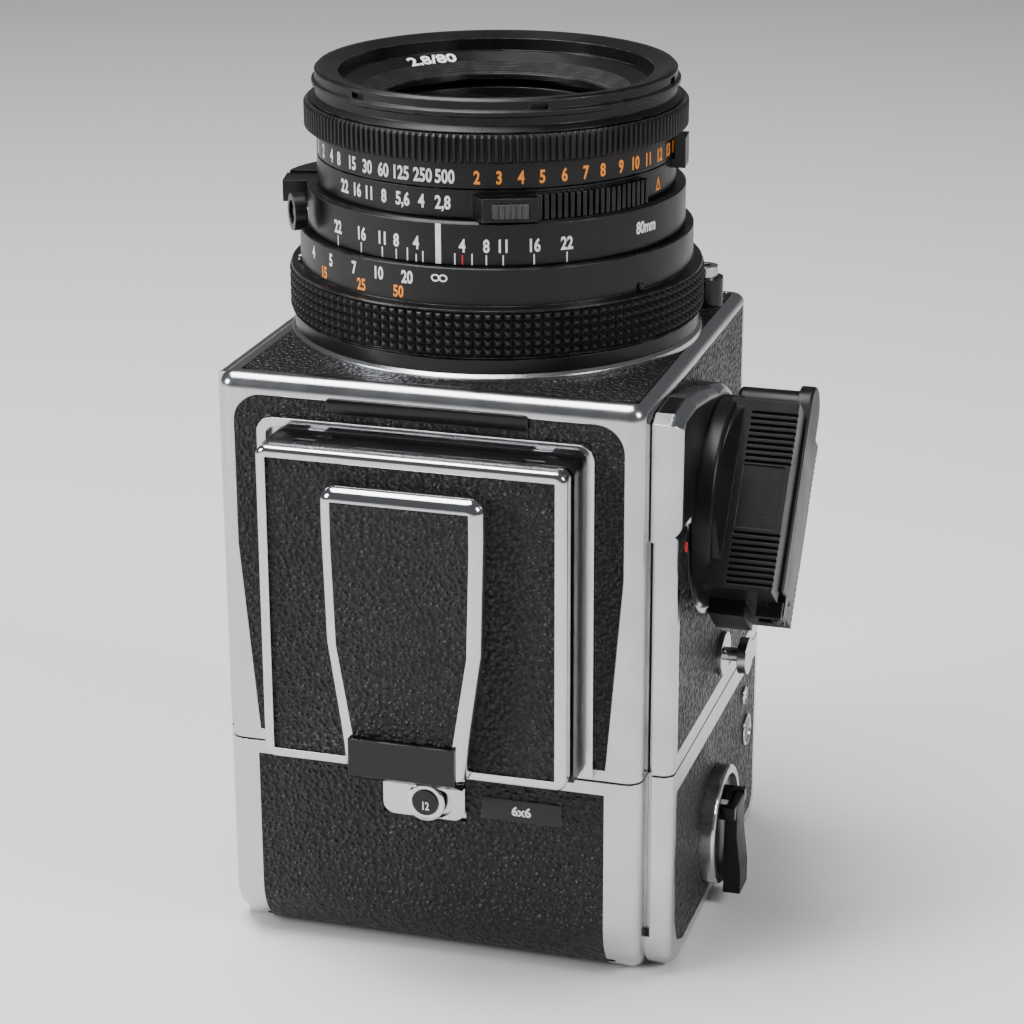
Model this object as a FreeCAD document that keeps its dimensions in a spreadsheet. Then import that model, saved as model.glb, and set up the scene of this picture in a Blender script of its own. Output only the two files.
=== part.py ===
import FreeCAD, Part
import math
import os
import re
import Sketcher

# Medium format film camera standing on the rear face of its magazine, lens up.
# Lengths are in millimetres. +Z runs forward along the lens axis, +X is the
# winding crank side, -Y is the finder side and +Y the tripod side. The origin
# is the lens axis at the plane of the magazine's rear face.

SIZES = {
    # body and magazine envelope
    "split_z": 43.2,
    "front_z": 117.6,
    "shell_half": 41.3,
    "top_height": 45.4,
    "bottom_depth": 38.0,
    "right_outer": "=shell_half + 5.1",
    "left_outer": "=shell_half + 1.9",
    "cover_near": "=top_height - 5.2",
    "edge_round": 3.0,
    "cover_round": 2.4,
    "rear_round": 12.4,
    "far_round": 6.0,
    "side_rear_round": 9.0,
    "groove_width": 1.0,
    "groove_depth": 2.0,
    "shell_wall": 4.0,
    "side_wall": 8.0,
    "seam": 0.2,
    "running_gap": 0.05,
    "leather": 0.7,
    "leather_margin": 3.6,
    "side_leather_front": 3.2,
    # body front
    "front_leather_left": "=shell_half - 4.1",
    "front_leather_right": "=shell_half - 1.9",
    "front_leather_near": "=top_height - 3.1",
    "ring_outer": 40.2,
    "ring_spigot": 38.4,
    "ring_bore": 33.2,
    "ring_height": 1.6,
    "throat": 36.0,
    "release_x": 36.0,
    "release_y": 25.6,
    "release_r": 2.4,
    "release_collar_r": 3.5,
    "release_collar_height": 5.6,
    "release_proud": 2.3,
    "catch_button_r": 3.2,
    "catch_button_proud": 2.8,
    # mirror box
    "box_half": "=shell_half - 8.5",
    "box_wall": 2.2,
    "box_top": "=top_height - 7",
    "box_ceiling": "=box_top - 3.8",
    "box_floor": "=bottom_depth - 4",
    "box_front": 112.4,
    "gate_half": 28.0,
    "screen_half": 29.6,
    "screen_thick": 2.8,
    "screen_front": 104.8,
    "screen_rear": 47.4,
    "window_half": 28.4,
    "mirror_pivot_y": "=box_ceiling - 2.2",
    "mirror_pivot_z": 50.0,
    "mirror_length": 58.0,
    "mirror_half": 27.0,
    "mirror_frame_thick": 1.2,
    "mirror_glass_thick": 1.0,
    "pivot_r": 1.0,
    "flap_pivot_y": 29.6,
    "flap_pivot_z": 46.8,
    "flap_thick": 0.8,
    # right side: shroud, crank and gears
    "crank_y": 9.3,
    "crank_z": 88.4,
    "crank_turn": 36.87,
    "crank_shaft_r": 4.0,
    "crank_disc_r": 20.6,
    "crank_disc_outer": "=right_outer + 4.2",
    "crank_block_outer": "=crank_disc_outer + 12",
    "crank_block_half": 12.7,
    "crank_block_low": 20.6,
    "crank_block_high": 16.9,
    "crank_shoulder": 1.6,
    "crank_rib_pitch": 1.22,
    "crank_rib_depth": 0.6,
    "crank_panel_low": 8.6,
    "crank_panel_high": 3.9,
    "crank_arm_thick": 2.8,
    "crank_arm_proud": 0.8,
    "crank_arm_half": 5.2,
    "crank_hinge": 21.6,
    "crank_ear_inner": 1.4,
    "crank_ear_outer": 2.7,
    "crank_pin_r": 0.7,
    "crank_grip_r": 3.2,
    "crank_grip_length": 11.9,
    "boss_r": "=crank_disc_r + 2.2",
    "crank_ring": 0.9,
    "shroud_outer": "=right_outer + 0.7",
    "shroud_gap": 0.4,
    "shroud_low": 91.2,
    "shroud_round": 2.4,
    "gear_module": 1.0,
    "winding_teeth": 44.0,
    "film_teeth": 20.0,
    "gear_thick": 2.2,
    "gear_start": "=shell_half - 3.2",
    "film_axle_r": 2.0,
    # straps, rail and foot
    "lug_y": 0.8,
    "lug_z": 52.4,
    "lug_r": 4.4,
    "lug_button_r": 3.7,
    "lug_stem_r": 1.4,
    "lug_reach": 5.6,
    "rail_length": 24.0,
    "rail_width": 18.0,
    "rail_lip": 1.2,
    "rail_height": 3.0,
    "foot_half": 22.0,
    "foot_height": 7.6,
    "foot_rear": 60.0,
    "foot_front": 100.0,
    "socket_small_r": 2.6,
    "socket_large_r": 4.1,
    "socket_depth": 7.0,
    "socket_small_z": 70.0,
    "socket_large_z": 86.0,
    # finder
    "u_leather_half": "=shell_half - 3.5",
    "u_leather_tail": "=shell_half - 6.7",
    "u_leather_front": 113.8,
    "u_leather_bend": 84.0,
    "u_leather_round": 5.5,
    "u_rail_outer": 32.6,
    "u_rail_inner": 30.8,
    "u_rail_front": 110.2,
    "u_rail_height": 1.8,
    "u_rail_round": 3.0,
    "finder_half": 30.2,
    "finder_wall": 1.3,
    "finder_rear": 45.3,
    "finder_front": 107.4,
    "finder_floor": 0.6,
    "finder_rim_y": "=top_height + 6.2",
    "lid_half": 29.8,
    "lid_rear": 45.0,
    "lid_front": 107.6,
    "lid_under_y": "=finder_rim_y + 0.9",
    "lid_plate": 2.4,
    "lid_leather": 0.6,
    "lid_rim": 2.1,
    "lid_rim_proud": 0.5,
    "lid_pivot_y": "=finder_rim_y - 0.6",
    "lid_pivot_z": 106.2,
    "lid_pin_r": 0.7,
    "lid_lug_inner": 20.3,
    "lid_lug_outer": 23.7,
    "cover_front_half": 15.8,
    "cover_rear_half": 11.6,
    "cover_front": 102.6,
    "cover_rear": "=lid_rear + lid_rim + 0.1",
    "cover_height": 6.0,
    "cover_rim": 2.6,
    "cover_edge": 2.4,
    "cover_corner": 3.0,
    "tab_front": 54.0,
    "tab_rear": 43.8,
    "tab_front_half": 10.4,
    "tab_thick": 1.0,
    "tab_drop": 4.7,
    "hood_hinge_x": 28.1,
    "hood_hinge_y": "=top_height + 2",
    "hood_hinge_z": 47.5,
    "hood_barrel_r": 0.5,
    "hood_lug": 1.6,
    "hood_thick": 0.6,
    "hood_height": 22.0,
    "hood_front": 104.7,
    "hood_front_height": 7.0,
    "hood_shoulder": 93.3,
    "hood_mitre": 0.8,
    "loupe_pivot_y": "=finder_rim_y - 0.3",
    "loupe_pin_r": 0.4,
    "loupe_lug": 7.2,
    "loupe_barrel_r": 0.9,
    "loupe_pivot_z": 50.5,
    "loupe_ring_r": 9.5,
    "loupe_lens_r": 8.0,
    "loupe_thick": 1.6,
    # lens
    "bayonet_r": 32.9,
    "lens_rear": 113.2,
    "lens_bore": 30.4,
    "flange_r": 39.6,
    "flange_z": 119.25,
    "guide_outer": 33.6,
    "guide_inner": 31.65,
    "guide_front": 136.0,
    "focus_grip_rear": 122.1,
    "focus_grip_front": 131.2,
    "focus_grip_r": 40.4,
    "focus_band_r": 38.2,
    "focus_front": 138.8,
    "core_outer": 31.55,
    "core_inner": 27.5,
    "core_rear": 121.0,
    "depth_rear": 139.0,
    "depth_front": 147.1,
    "depth_r": 36.6,
    "dial_bore": 31.65,
    "dial_r": 34.6,
    "aperture_front": 152.55,
    "speed_rear": 152.75,
    "speed_grip_rear": 157.8,
    "speed_grip_front": 163.1,
    "speed_grip_r": 36.9,
    "ring_gap": 0.2,
    "interlock_angle": 20.8,
    "interlock_width": 10.2,
    "interlock_reach": 2.9,
    "interlock_button_width": 6.8,
    "aperture_rib_first": 29.6,
    "aperture_rib_span": 38.0,
    "aperture_rib_reach": 1.5,
    "side_tab_angle": 97.0,
    "side_tab_reach": 2.3,
    "side_tab_half": 3.0,
    "side_tab_front": 156.5,
    "side_tab_hang": 1.85,
    "interlock_press": 0.8,
    "rim_rear": 163.3,
    "rim_front": 169.3,
    "rim_r": 34.7,
    "rim_flange": 0.6,
    "lip_inner": 33.3,
    "filter_bore": 30.2,
    "baffle_r": 22.6,
    "baffle_z": 161.6,
    "front_glass_r": 22.4,
    "front_glass_crown": 70.0,
    "front_glass_z": 158.0,
    "rear_glass_r": 20.0,
    "rear_glass_crown": 45.0,
    "rear_glass_z": 127.0,
    "glass_seat": 4.0,
    "iris_z": 144.0,
    "iris_hole": 13.0,
    "iris_thick": 0.3,
    "iris_blades": 5.0,
    "bulge_angle": 195.6,
    "bulge_shift": 23.8,
    "bulge_r": 17.6,
    "bulge_rear": 139.6,
    "preview_angle": 192.9,
    "preview_reach": 41.3,
    "preview_width": 6.6,
    "preview_height": 4.15,
    "sync_angle": 213.0,
    "sync_z": 143.0,
    "sync_r": 3.55,
    "sync_pin_r": 1.7,
    "sync_reach": 40.6,
    "sync_floor": 38.2,
    # magazine
    "mag_leather_left": "=shell_half - 6.1",
    "mag_leather_right": "=shell_half - 6.9",
    "mag_leather_front": 40.4,
    "mag_leather_far": "=bottom_depth - 7",
    "mag_side_front": 38.6,
    "mag_side_rear": 4.0,
    "mag_side_cut": 7.0,
    "mag_wall": 3.2,
    "mag_cavity_half": "=shell_half - 5.3",
    "mag_front": 43.0,
    "gate_plate": 1.0,
    "tongue_left": 9.5,
    "tongue_right": 7.0,
    "tongue_rear": 31.4,
    "tongue_height": 0.5,
    "catch_x": 0.9,
    "catch_z": 34.6,
    "catch_r": 2.6,
    "catch_stem_r": 1.2,
    "catch_travel": 2.4,
    "catch_proud": 1.0,
    "slide_z": 40.6,
    "slide_thick": 1.0,
    "slide_half": 30.0,
    "slide_end": 30.5,
    "slide_handle_half": 9.0,
    "slide_handle_reach": 6.4,
    "insert_half": "=mag_cavity_half - 1.6",
    "insert_plate": 1.2,
    "insert_rear": 4.0,
    "insert_front": 38.6,
    "insert_near": 36.0,
    "insert_pressure": 30.0,
    "insert_far": "=bottom_depth - 4",
    "pressure_z": 37.4,
    "pressure_thick": 1.2,
    "spool_flange_r": 12.0,
    "spool_core_r": 6.0,
    "spool_half": "=insert_half - 1.8",
    "supply_film_r": 10.4,
    "spool_flange": 0.8,
    "spool_pin_r": 2.4,
    "spool_z": 17.2,
    "takeup_y": 4.3,
    "supply_y": "=bottom_depth - 16.8",
    "key_ring_r": 12.2,
    "key_ring_outer": "=right_outer + 3",
    "key_ring_wall": 1.7,
    "key_disc_r": 10.3,
    "key_disc_outer": "=key_ring_outer - 1",
    "key_pivot_x": "=key_disc_outer + 2.5",
    "key_thick": 2.6,
    "key_stand": 2.2,
    "key_up": 6.6,
    "key_down": 13.6,
    "key_half": 3.4,
    "key_pin_r": 0.7,
    "key_shaft_r": 3.0,
}

doc = FreeCAD.newDocument("film_camera")
sheet = doc.addObject("Spreadsheet::Sheet", "dim")
for row, (alias, number) in enumerate(SIZES.items(), start=1):
    sheet.set(f"A{row}", alias)
    sheet.set(f"B{row}", str(number))
    sheet.setAlias(f"B{row}", alias)
doc.recompute()

WORD = re.compile(r"\b(?!deg\b)[a-z][a-z_]*\b(?!\()")
PLANES = {"XY": "XY_Plane", "XZ": "XZ_Plane", "YZ": "YZ_Plane"}
EPS = 1e-4
FIRST_REACH, FIRST_RADIUS = 9, 5  # where a new sketch line or circle stands before it is bound
FILM_GEAR_Z = "crank_z - gear_module * (winding_teeth + film_teeth) / 2"


def size(alias):
    """The number that a cell of the sheet holds."""
    return float(sheet.get(alias))


def bound(text):
    """An expression in cell names, as the document writes it."""
    return WORD.sub(lambda word: "dim." + word.group(0), text)


def polygon(sketch, points):
    """Straight lines through points whose two coordinates are bound to expressions."""
    count = len(points)
    first = sketch.GeometryCount
    step = 2 * math.pi / count
    start = [FreeCAD.Vector(math.cos(step * i), math.sin(step * i), 0) * FIRST_REACH for i in range(count)]
    for i in range(count):
        sketch.addGeometry(Part.LineSegment(start[i], start[(i + 1) % count]), False)
    for i in range(count):
        follower = first + (i + 1) % count
        sketch.addConstraint(Sketcher.Constraint("Coincident", first + i, 2, follower, 1))
    for i, point in enumerate(points):
        for kind, now, text in (("DistanceX", start[i].x, point[0]), ("DistanceY", start[i].y, point[1])):
            index = sketch.addConstraint(Sketcher.Constraint(kind, -1, 1, first + i, 1, now))
            sketch.setExpression(f"Constraints[{index}]", bound(text))


def circle(sketch, centre, radius):
    """A circle whose centre and radius are bound to expressions."""
    first = Part.Circle(FreeCAD.Vector(1, 1, 0), FreeCAD.Vector(0, 0, 1), FIRST_RADIUS)
    index = sketch.addGeometry(first, False)
    rules = (
        (Sketcher.Constraint("Radius", index, FIRST_RADIUS), radius),
        (Sketcher.Constraint("DistanceX", -1, 1, index, 3, 1), centre[0]),
        (Sketcher.Constraint("DistanceY", -1, 1, index, 3, 1), centre[1]),
    )
    for rule, text in rules:
        place = sketch.addConstraint(rule)
        sketch.setExpression(f"Constraints[{place}]", bound(text))


def box(low_u, high_u, low_v, high_v):
    """A rectangle as a list of corners for a sketch."""
    return [(low_u, low_v), (high_u, low_v), (high_u, high_v), (low_u, high_v)]


class Piece:
    """One sub-part: a body with sketches on its own origin planes."""

    def __init__(self, label):
        self.body = doc.addObject("PartDesign::Body", label)
        self.body.Label = label

    def sketch(self, plane, offset, outlines):
        drawing = self.body.newObject("Sketcher::SketchObject", self.body.Name + "_sketch")
        role = PLANES[plane]
        face = [item for item in self.body.Origin.OriginFeatures if item.Role == role][0]
        drawing.AttachmentSupport = [(face, "")]
        drawing.MapMode = "FlatFace"
        drawing.setExpression("AttachmentOffset.Base.z", bound(offset))
        for outline in outlines:
            if len(outline) == 2:
                circle(drawing, outline[0], outline[1])
            else:
                polygon(drawing, outline)
        return drawing

    def pad(self, plane, low, high, *outlines):
        """Adds the outlines' area between two planes. XZ sketches look along -Y."""
        start = f"-({high})" if plane == "XZ" else low
        feature = self.body.newObject("PartDesign::Pad", self.body.Name + "_pad")
        feature.Profile = self.sketch(plane, start, outlines)
        feature.setExpression("Length", bound(f"({high}) - ({low})"))
        return feature

    def cut(self, plane, low, high, *outlines):
        """Removes the outlines' area between two planes."""
        start = f"-({low})" if plane == "XZ" else high
        feature = self.body.newObject("PartDesign::Pocket", self.body.Name + "_pocket")
        feature.Profile = self.sketch(plane, start, outlines)
        feature.setExpression("Length", bound(f"({high}) - ({low})"))
        return feature

    def turn(self, profile):
        """Turns a radius and height profile round the lens axis."""
        feature = self.body.newObject("PartDesign::Revolution", self.body.Name + "_turned")
        drawing = self.sketch("XZ", "0", [profile])
        feature.Profile = drawing
        feature.ReferenceAxis = (drawing, ["V_Axis"])
        feature.Angle = 360
        return feature

    def polar(self, feature, count, axis_sketch, angle=360):
        pattern = self.body.newObject("PartDesign::PolarPattern", self.body.Name + "_polar")
        pattern.Originals = [feature]
        pattern.Axis = (axis_sketch, ["N_Axis"])
        pattern.Angle = angle
        pattern.Occurrences = count
        self.body.Tip = pattern
        return pattern

    def linear(self, feature, drawing, length, count):
        pattern = self.body.newObject("PartDesign::LinearPattern", self.body.Name + "_linear")
        pattern.Originals = [feature]
        pattern.Direction = (drawing, ["N_Axis"])
        pattern.setExpression("Length", bound(length))
        pattern.Occurrences = count
        self.body.Tip = pattern
        return pattern

    def round(self, radius, chosen):
        """Rounds the edges whose bounding box the test accepts."""
        doc.recompute()
        base = self.body.Tip
        names = [f"Edge{i + 1}" for i, edge in enumerate(base.Shape.Edges) if chosen(edge.BoundBox)]
        feature = self.body.newObject("PartDesign::Fillet", self.body.Name + "_round")
        feature.Base = (base, names)
        feature.setExpression("Radius", bound(radius))
        self.body.Tip = feature
        return feature


def near(a, b):
    return abs(a - b) < 0.02


def along(bb, axis):
    """True for a straight edge that runs along one axis."""
    spans = {"x": bb.XLength, "y": bb.YLength, "z": bb.ZLength}
    return all(span < EPS for name, span in spans.items() if name != axis) and spans[axis] > EPS


def upright_at(bb, x, z):
    """True for a straight edge along Y at one place, on either side of the middle."""
    return along(bb, "y") and near(abs(bb.XMin), x) and near(bb.ZMin, z)


def ring_outline(inner, outer, low, high):
    return [(inner, low), (outer, low), (outer, high), (inner, high)]


# Body


def make_main_shell():
    piece = Piece("main_shell")
    piece.pad("XY", "split_z + seam", "front_z",
              box("-shell_half", "shell_half", "-top_height", "bottom_depth"))
    top, front = -size("top_height"), size("front_z")

    def outer_edge(bb):
        lengthwise = along(bb, "z") and near(bb.YMin, top)
        across = along(bb, "x") and near(bb.ZMin, front)
        upright = along(bb, "y") and near(bb.ZMin, front)
        return lengthwise or across or upright

    piece.round("edge_round", outer_edge)
    piece.cut("XY", "split_z", "front_z - shell_wall",
              box("-(shell_half - side_wall)", "shell_half - side_wall",
                  "-(top_height - shell_wall)", "box_floor"))
    piece.cut("XY", "front_z - shell_wall - 1", "front_z + 1", (("0", "0"), "throat"))
    piece.cut("XY", "front_z - leather", "front_z + 1",
              box("-front_leather_left", "front_leather_right", "-front_leather_near",
                  "bottom_depth - leather_margin"))
    piece.cut("XY", "front_z - leather", "front_z + 1", (("0", "0"), "ring_spigot"))
    piece.cut("XZ", "-(top_height + 1)", "-(top_height - shell_wall - 1)",
              box("-window_half", "window_half", "screen_rear + 0.6", "screen_front - 0.6"))
    piece.cut("XZ", "-(top_height + 1)", "-(top_height - leather)", top_leather_outline("0"))
    round_top_leather(piece)
    # the side wall: pockets and bearings of the two gears, and the bed of the side leather
    piece.cut("YZ", "shell_half - side_wall - 1", "shell_half + 1", (CRANK_AXIS, "crank_shaft_r + running_gap"))
    piece.cut("YZ", "shell_half - side_wall + 1.6", "shell_half + 1",
              (("-crank_y", FILM_GEAR_Z), "film_axle_r + running_gap"))
    for z, teeth in (("crank_z", "winding_teeth"), (FILM_GEAR_Z, "film_teeth")):
        pocket = (("-crank_y", z), f"gear_module * ({teeth} / 2 + 1.2)")
        piece.cut("YZ", "gear_start - 0.4", "shell_half + 1", pocket)
    piece.cut("YZ", "shell_half - leather", "shell_half + 1", side_front_outline("0"))
    for x in ("release_x", "-release_x"):
        piece.cut("XY", "front_z - shell_wall + 0.6", "front_z + 1",
                  ((x, "release_y"), "catch_button_r + running_gap"))
    return piece


def side_front_outline(gap):
    """The front half of the crank side, where the leather lies flush in the shell."""
    return box(f"-(cover_near - leather_margin) + ({gap})", f"bottom_depth - 1 - ({gap})",
               f"shroud_low + 1.6 + ({gap})", f"front_z - side_leather_front - ({gap})")


def round_top_leather(piece):
    """Rounds the two front corners of the U, outside and along the finder rail."""
    outer, front = size("u_leather_half"), size("u_leather_front")
    inner, mouth = size("u_rail_outer"), size("u_rail_front")
    gaps = (0, size("seam") / 2)
    piece.round("u_leather_round", lambda bb: any(upright_at(bb, outer - gap, front - gap) for gap in gaps))
    piece.round("u_rail_round", lambda bb: any(upright_at(bb, inner + gap, mouth + gap) for gap in gaps))


def top_leather_outline(gap):
    """The U round the finder, with side bands that taper towards the magazine."""
    outer, tail = f"u_leather_half - ({gap})", f"u_leather_tail - ({gap})"
    inner = f"u_rail_outer + ({gap})"
    front, foot = f"u_leather_front - ({gap})", f"split_z + 2.4 + ({gap})"
    mouth = f"u_rail_front + ({gap})"
    return [
        (f"-({tail})", foot), (f"-({inner})", foot), (f"-({inner})", mouth), (inner, mouth),
        (inner, foot), (tail, foot), (outer, "u_leather_bend"), (outer, front), (f"-({outer})", front),
        (f"-({outer})", "u_leather_bend"),
    ]


def make_top_leather():
    piece = Piece("top_leather")
    piece.pad("XZ", "-top_height", "-(top_height - leather)", top_leather_outline("seam / 2"))
    round_top_leather(piece)
    return piece


def make_front_leather():
    piece = Piece("front_leather")
    piece.pad("XY", "front_z - leather", "front_z",
              box("-front_leather_left + seam / 2", "front_leather_right - seam / 2",
                  "-front_leather_near + seam / 2", "bottom_depth - leather_margin - seam / 2"))
    near_y = -size("front_leather_near") + size("seam") / 2
    piece.round("2", lambda bb: along(bb, "z") and near(bb.YMin, near_y))
    piece.cut("XY", "front_z - leather - 1", "front_z + 1", (("0", "0"), "ring_spigot + seam"))
    for x, radius in (("release_x", "release_collar_r"), ("-release_x", "catch_button_r")):
        piece.cut("XY", "front_z - leather - 1", "front_z + 1", ((x, "release_y"), radius + " + seam"))
    return piece


def make_mount_ring():
    piece = Piece("mount_ring")
    floor, face = "front_z - leather", "front_z"
    top = "front_z + ring_height"
    piece.turn([("ring_bore", floor), ("ring_spigot", floor), ("ring_spigot", face), ("ring_outer", face),
                ("ring_outer", top + " - 0.6"), ("ring_outer - 0.6", top), ("ring_bore", top)])
    return piece


def make_left_cover():
    piece = Piece("left_cover")
    piece.pad("YZ", "-left_outer", "-(shell_half + seam / 2)",
              box("-cover_near", "bottom_depth - edge_round", "split_z + seam", "front_z - 1.6"))
    outer = -size("left_outer")
    piece.round("1.2", lambda bb: near(bb.XMin, outer) and near(bb.XMax, outer))
    piece.cut("YZ", "-(left_outer + 1)", "-(left_outer - leather)", side_leather_outline("0"))
    return piece


def side_leather_outline(gap):
    return box(f"-(cover_near - leather_margin) + ({gap})",
               f"bottom_depth - edge_round - leather_margin - ({gap})",
               f"split_z + leather_margin + ({gap})", f"front_z - leather_margin - 1 - ({gap})")


def make_left_leather():
    piece = Piece("left_leather")
    piece.pad("YZ", "-left_outer", "-(left_outer - leather)", side_leather_outline("seam / 2"))
    piece.cut("YZ", "-left_outer - 1", "-(left_outer - leather - 1)", (("lug_y", "lug_z"), "lug_r + seam"))
    return piece


CRANK_AXIS = ("-crank_y", "crank_z")
WELL_R = "crank_disc_r + shroud_gap"


def make_right_cover():
    """The side plate, and the raised shroud that leads from the finder round the crank."""
    plate, shroud = Piece("cover_plate"), Piece("cover_shroud")
    inner = "shell_half + seam"
    plate.pad("YZ", inner, "right_outer",
              box("-cover_near", "bottom_depth", "split_z + seam", "shroud_low + 1"))
    outer, rear_z = size("right_outer"), size("split_z") + size("seam")
    plate.round("cover_round", lambda bb: near(bb.XMin, outer) and near(bb.XMax, outer)
                and not near(bb.ZMax, rear_z))
    plate.cut("YZ", "right_outer - leather", "right_outer + 1", side_rear_outline("0"))
    plate.pad("YZ", "right_outer - leather - 0.2", "right_outer", (CRANK_AXIS, WELL_R + " + crank_ring"))
    shroud.pad("YZ", inner, "shroud_outer", [
        ("-cover_near", "shroud_low"), ("-cover_near", "front_z - 4.6"), ("-cover_near + 3", "front_z - 3.2"),
        ("-cover_near + 11.8", "front_z - 2.9"), ("-cover_near + 23", "front_z - 4.6"),
        ("-crank_y + 2", "crank_z + boss_r - 0.4"), ("-crank_y", "shroud_low")])
    shroud.pad("YZ", inner, "shroud_outer", (CRANK_AXIS, "boss_r"))
    crest = size("shroud_outer")
    shroud.round("shroud_round", lambda bb: near(bb.XMin, crest) and near(bb.XMax, crest))
    shroud.cut("YZ", "shell_half", "shroud_outer + 1",
               box("-(cover_near + 1)", "bottom_depth", "split_z", "shroud_low"))
    # the well of the crank, its shaft and the bearing of the film gear
    for piece in (plate, shroud):
        piece.cut("YZ", "right_outer - leather", "shroud_outer + 1", (CRANK_AXIS, WELL_R))
        piece.cut("YZ", "shell_half", "shroud_outer + 1", (CRANK_AXIS, "crank_shaft_r + running_gap"))
    plate.cut("YZ", "shell_half", "shell_half + 2.4", (("-crank_y", FILM_GEAR_Z), "film_axle_r + running_gap"))
    plate.cut("YZ", "shell_half", "shell_half + groove_width",
              box("-(cover_near + 1)", "-(cover_near - groove_depth)", "split_z", "shroud_low - 1"))
    cover = doc.addObject("Part::MultiFuse", "right_cover")
    cover.Label = "right_cover"
    cover.Shapes = [plate.body, shroud.body]
    return cover


def side_rear_outline(gap):
    """The leather panel on the thick plate behind the shroud."""
    return box(f"-(cover_near - leather_margin) + ({gap})", f"bottom_depth - leather_margin - ({gap})",
               f"split_z + leather_margin + ({gap})", f"shroud_low - leather_margin - ({gap})")


def make_right_leather():
    """The panel on the side plate and the one flush in the shell in front of it."""
    rear, front = Piece("side_panel_rear"), Piece("side_panel_front")
    rear.pad("YZ", "right_outer - leather", "right_outer", side_rear_outline("seam / 2"))
    for place, radius in ((CRANK_AXIS, WELL_R + " + crank_ring + seam / 2"),
                          (("lug_y", "lug_z"), "lug_r + seam")):
        rear.cut("YZ", "right_outer - leather - 1", "right_outer + 1", (place, radius))
    front.pad("YZ", "shell_half - leather", "shell_half", side_front_outline("seam / 2"))
    front.cut("YZ", "shell_half - leather - 1", "shell_half + 1", (CRANK_AXIS, "boss_r - 1"))
    return joined("right_leather", [rear, front])


def make_finder_rail():
    piece = Piece("finder_rail")
    mouth = "u_rail_front - u_rail_outer + u_rail_inner"
    foot = "split_z + seam + 1"
    piece.pad("XZ", "-(top_height + u_rail_height)", "-top_height", [
        ("-u_rail_outer", foot), ("-u_rail_inner", foot), ("-u_rail_inner", mouth), ("u_rail_inner", mouth),
        ("u_rail_inner", foot), ("u_rail_outer", foot), ("u_rail_outer", "u_rail_front"),
        ("-u_rail_outer", "u_rail_front")])
    outer, inner, front = size("u_rail_outer"), size("u_rail_inner"), size("u_rail_front")
    piece.round("u_rail_round", lambda bb: upright_at(bb, outer, front))
    piece.round("u_rail_round / 2", lambda bb: upright_at(bb, inner, front - outer + inner))
    return piece


def make_mirror_box():
    piece = Piece("mirror_box")
    rear = "split_z + seam"
    piece.pad("XY", rear, "box_front", box("-box_half", "box_half", "-box_top", "box_floor"))
    piece.cut("XY", "split_z + 2.2", "box_front + 1",
              box("-(box_half - box_wall)", "box_half - box_wall", "-box_ceiling", "box_floor - box_wall"))
    piece.cut("XY", "split_z - 1", "split_z + 3", box("-gate_half", "gate_half", "-gate_half", "gate_half"))
    piece.cut("XZ", "-(box_top + 1)", "-(box_ceiling - 1)",
              box("-window_half", "window_half", "screen_rear + 0.6", "screen_front - 0.6"))
    for y, z, radius in (("-mirror_pivot_y", "mirror_pivot_z", "pivot_r + running_gap"),
                         ("-flap_pivot_y", "flap_pivot_z", "pivot_r * 0.8 + running_gap"),
                         ("flap_pivot_y", "flap_pivot_z", "pivot_r * 0.8 + running_gap")):
        piece.cut("YZ", "-(box_half + 1)", "box_half + 1", ((y, z), radius))
    return piece


def make_focusing_screen():
    piece = Piece("focusing_screen")
    piece.pad("XZ", "-(box_top + screen_thick + seam / 2)", "-(box_top + seam / 2)",
              box("-screen_half", "screen_half", "screen_rear", "screen_front"))
    return piece


def make_mirror():
    """Built lying along +Y from its pivot, then turned to 45 degrees by its placement."""
    frame = Piece("mirror_frame")
    frame.pad("XY", "-mirror_frame_thick / 2", "mirror_frame_thick / 2",
              box("-mirror_half - 1", "mirror_half + 1", "0", "mirror_length"))
    frame.pad("YZ", "-(box_half - 0.4)", "box_half - 0.4", (("0", "0"), "pivot_r"))
    glass = Piece("mirror_glass")
    glass.pad("XY", "mirror_frame_thick / 2", "mirror_frame_thick / 2 + mirror_glass_thick",
              box("-mirror_half", "mirror_half", "2", "mirror_length - 0.6"))
    for piece in (frame, glass):
        lean = FreeCAD.Rotation(FreeCAD.Vector(1, 0, 0), 45)
        piece.body.Placement = FreeCAD.Placement(FreeCAD.Vector(), lean)
        piece.body.setExpression("Placement.Base.y", bound("-mirror_pivot_y"))
        piece.body.setExpression("Placement.Base.z", bound("mirror_pivot_z"))
    return frame, glass


def make_flap(label, side):
    """A rear flap that hangs over half of the film gate; side is -1 for the finder's half."""
    piece = Piece(label)
    edge = "-flap_pivot_y" if side < 0 else "flap_pivot_y"
    middle = "-seam" if side < 0 else "seam"
    low, high = (edge, middle) if side < 0 else (middle, edge)
    piece.pad("XY", "flap_pivot_z - flap_thick / 2", "flap_pivot_z + flap_thick / 2",
              box("-(gate_half + 1.4)", "gate_half + 1.4", low, high))
    piece.pad("YZ", "-(box_half - 0.4)", "box_half - 0.4", ((edge, "flap_pivot_z"), "pivot_r * 0.8"))
    return piece


def make_release_collar():
    piece = Piece("release_collar")
    floor = "front_z - leather"
    top = "front_z + release_collar_height"
    place = ("release_x", "release_y")
    piece.pad("XY", floor, top, (place, "release_collar_r"))
    piece.cut("XY", floor + " - 1", top + " + 1", (place, "release_r + running_gap"))
    return piece


def make_release_button():
    piece = Piece("release_button")
    top = "front_z + release_collar_height + release_proud"
    place = ("release_x", "release_y")
    piece.pad("XY", "front_z + 0.4", top, (place, "release_r"))
    piece.cut("XY", top + " - 1.6", top + " + 1", (place, "release_r * 0.4"))
    return piece


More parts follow.
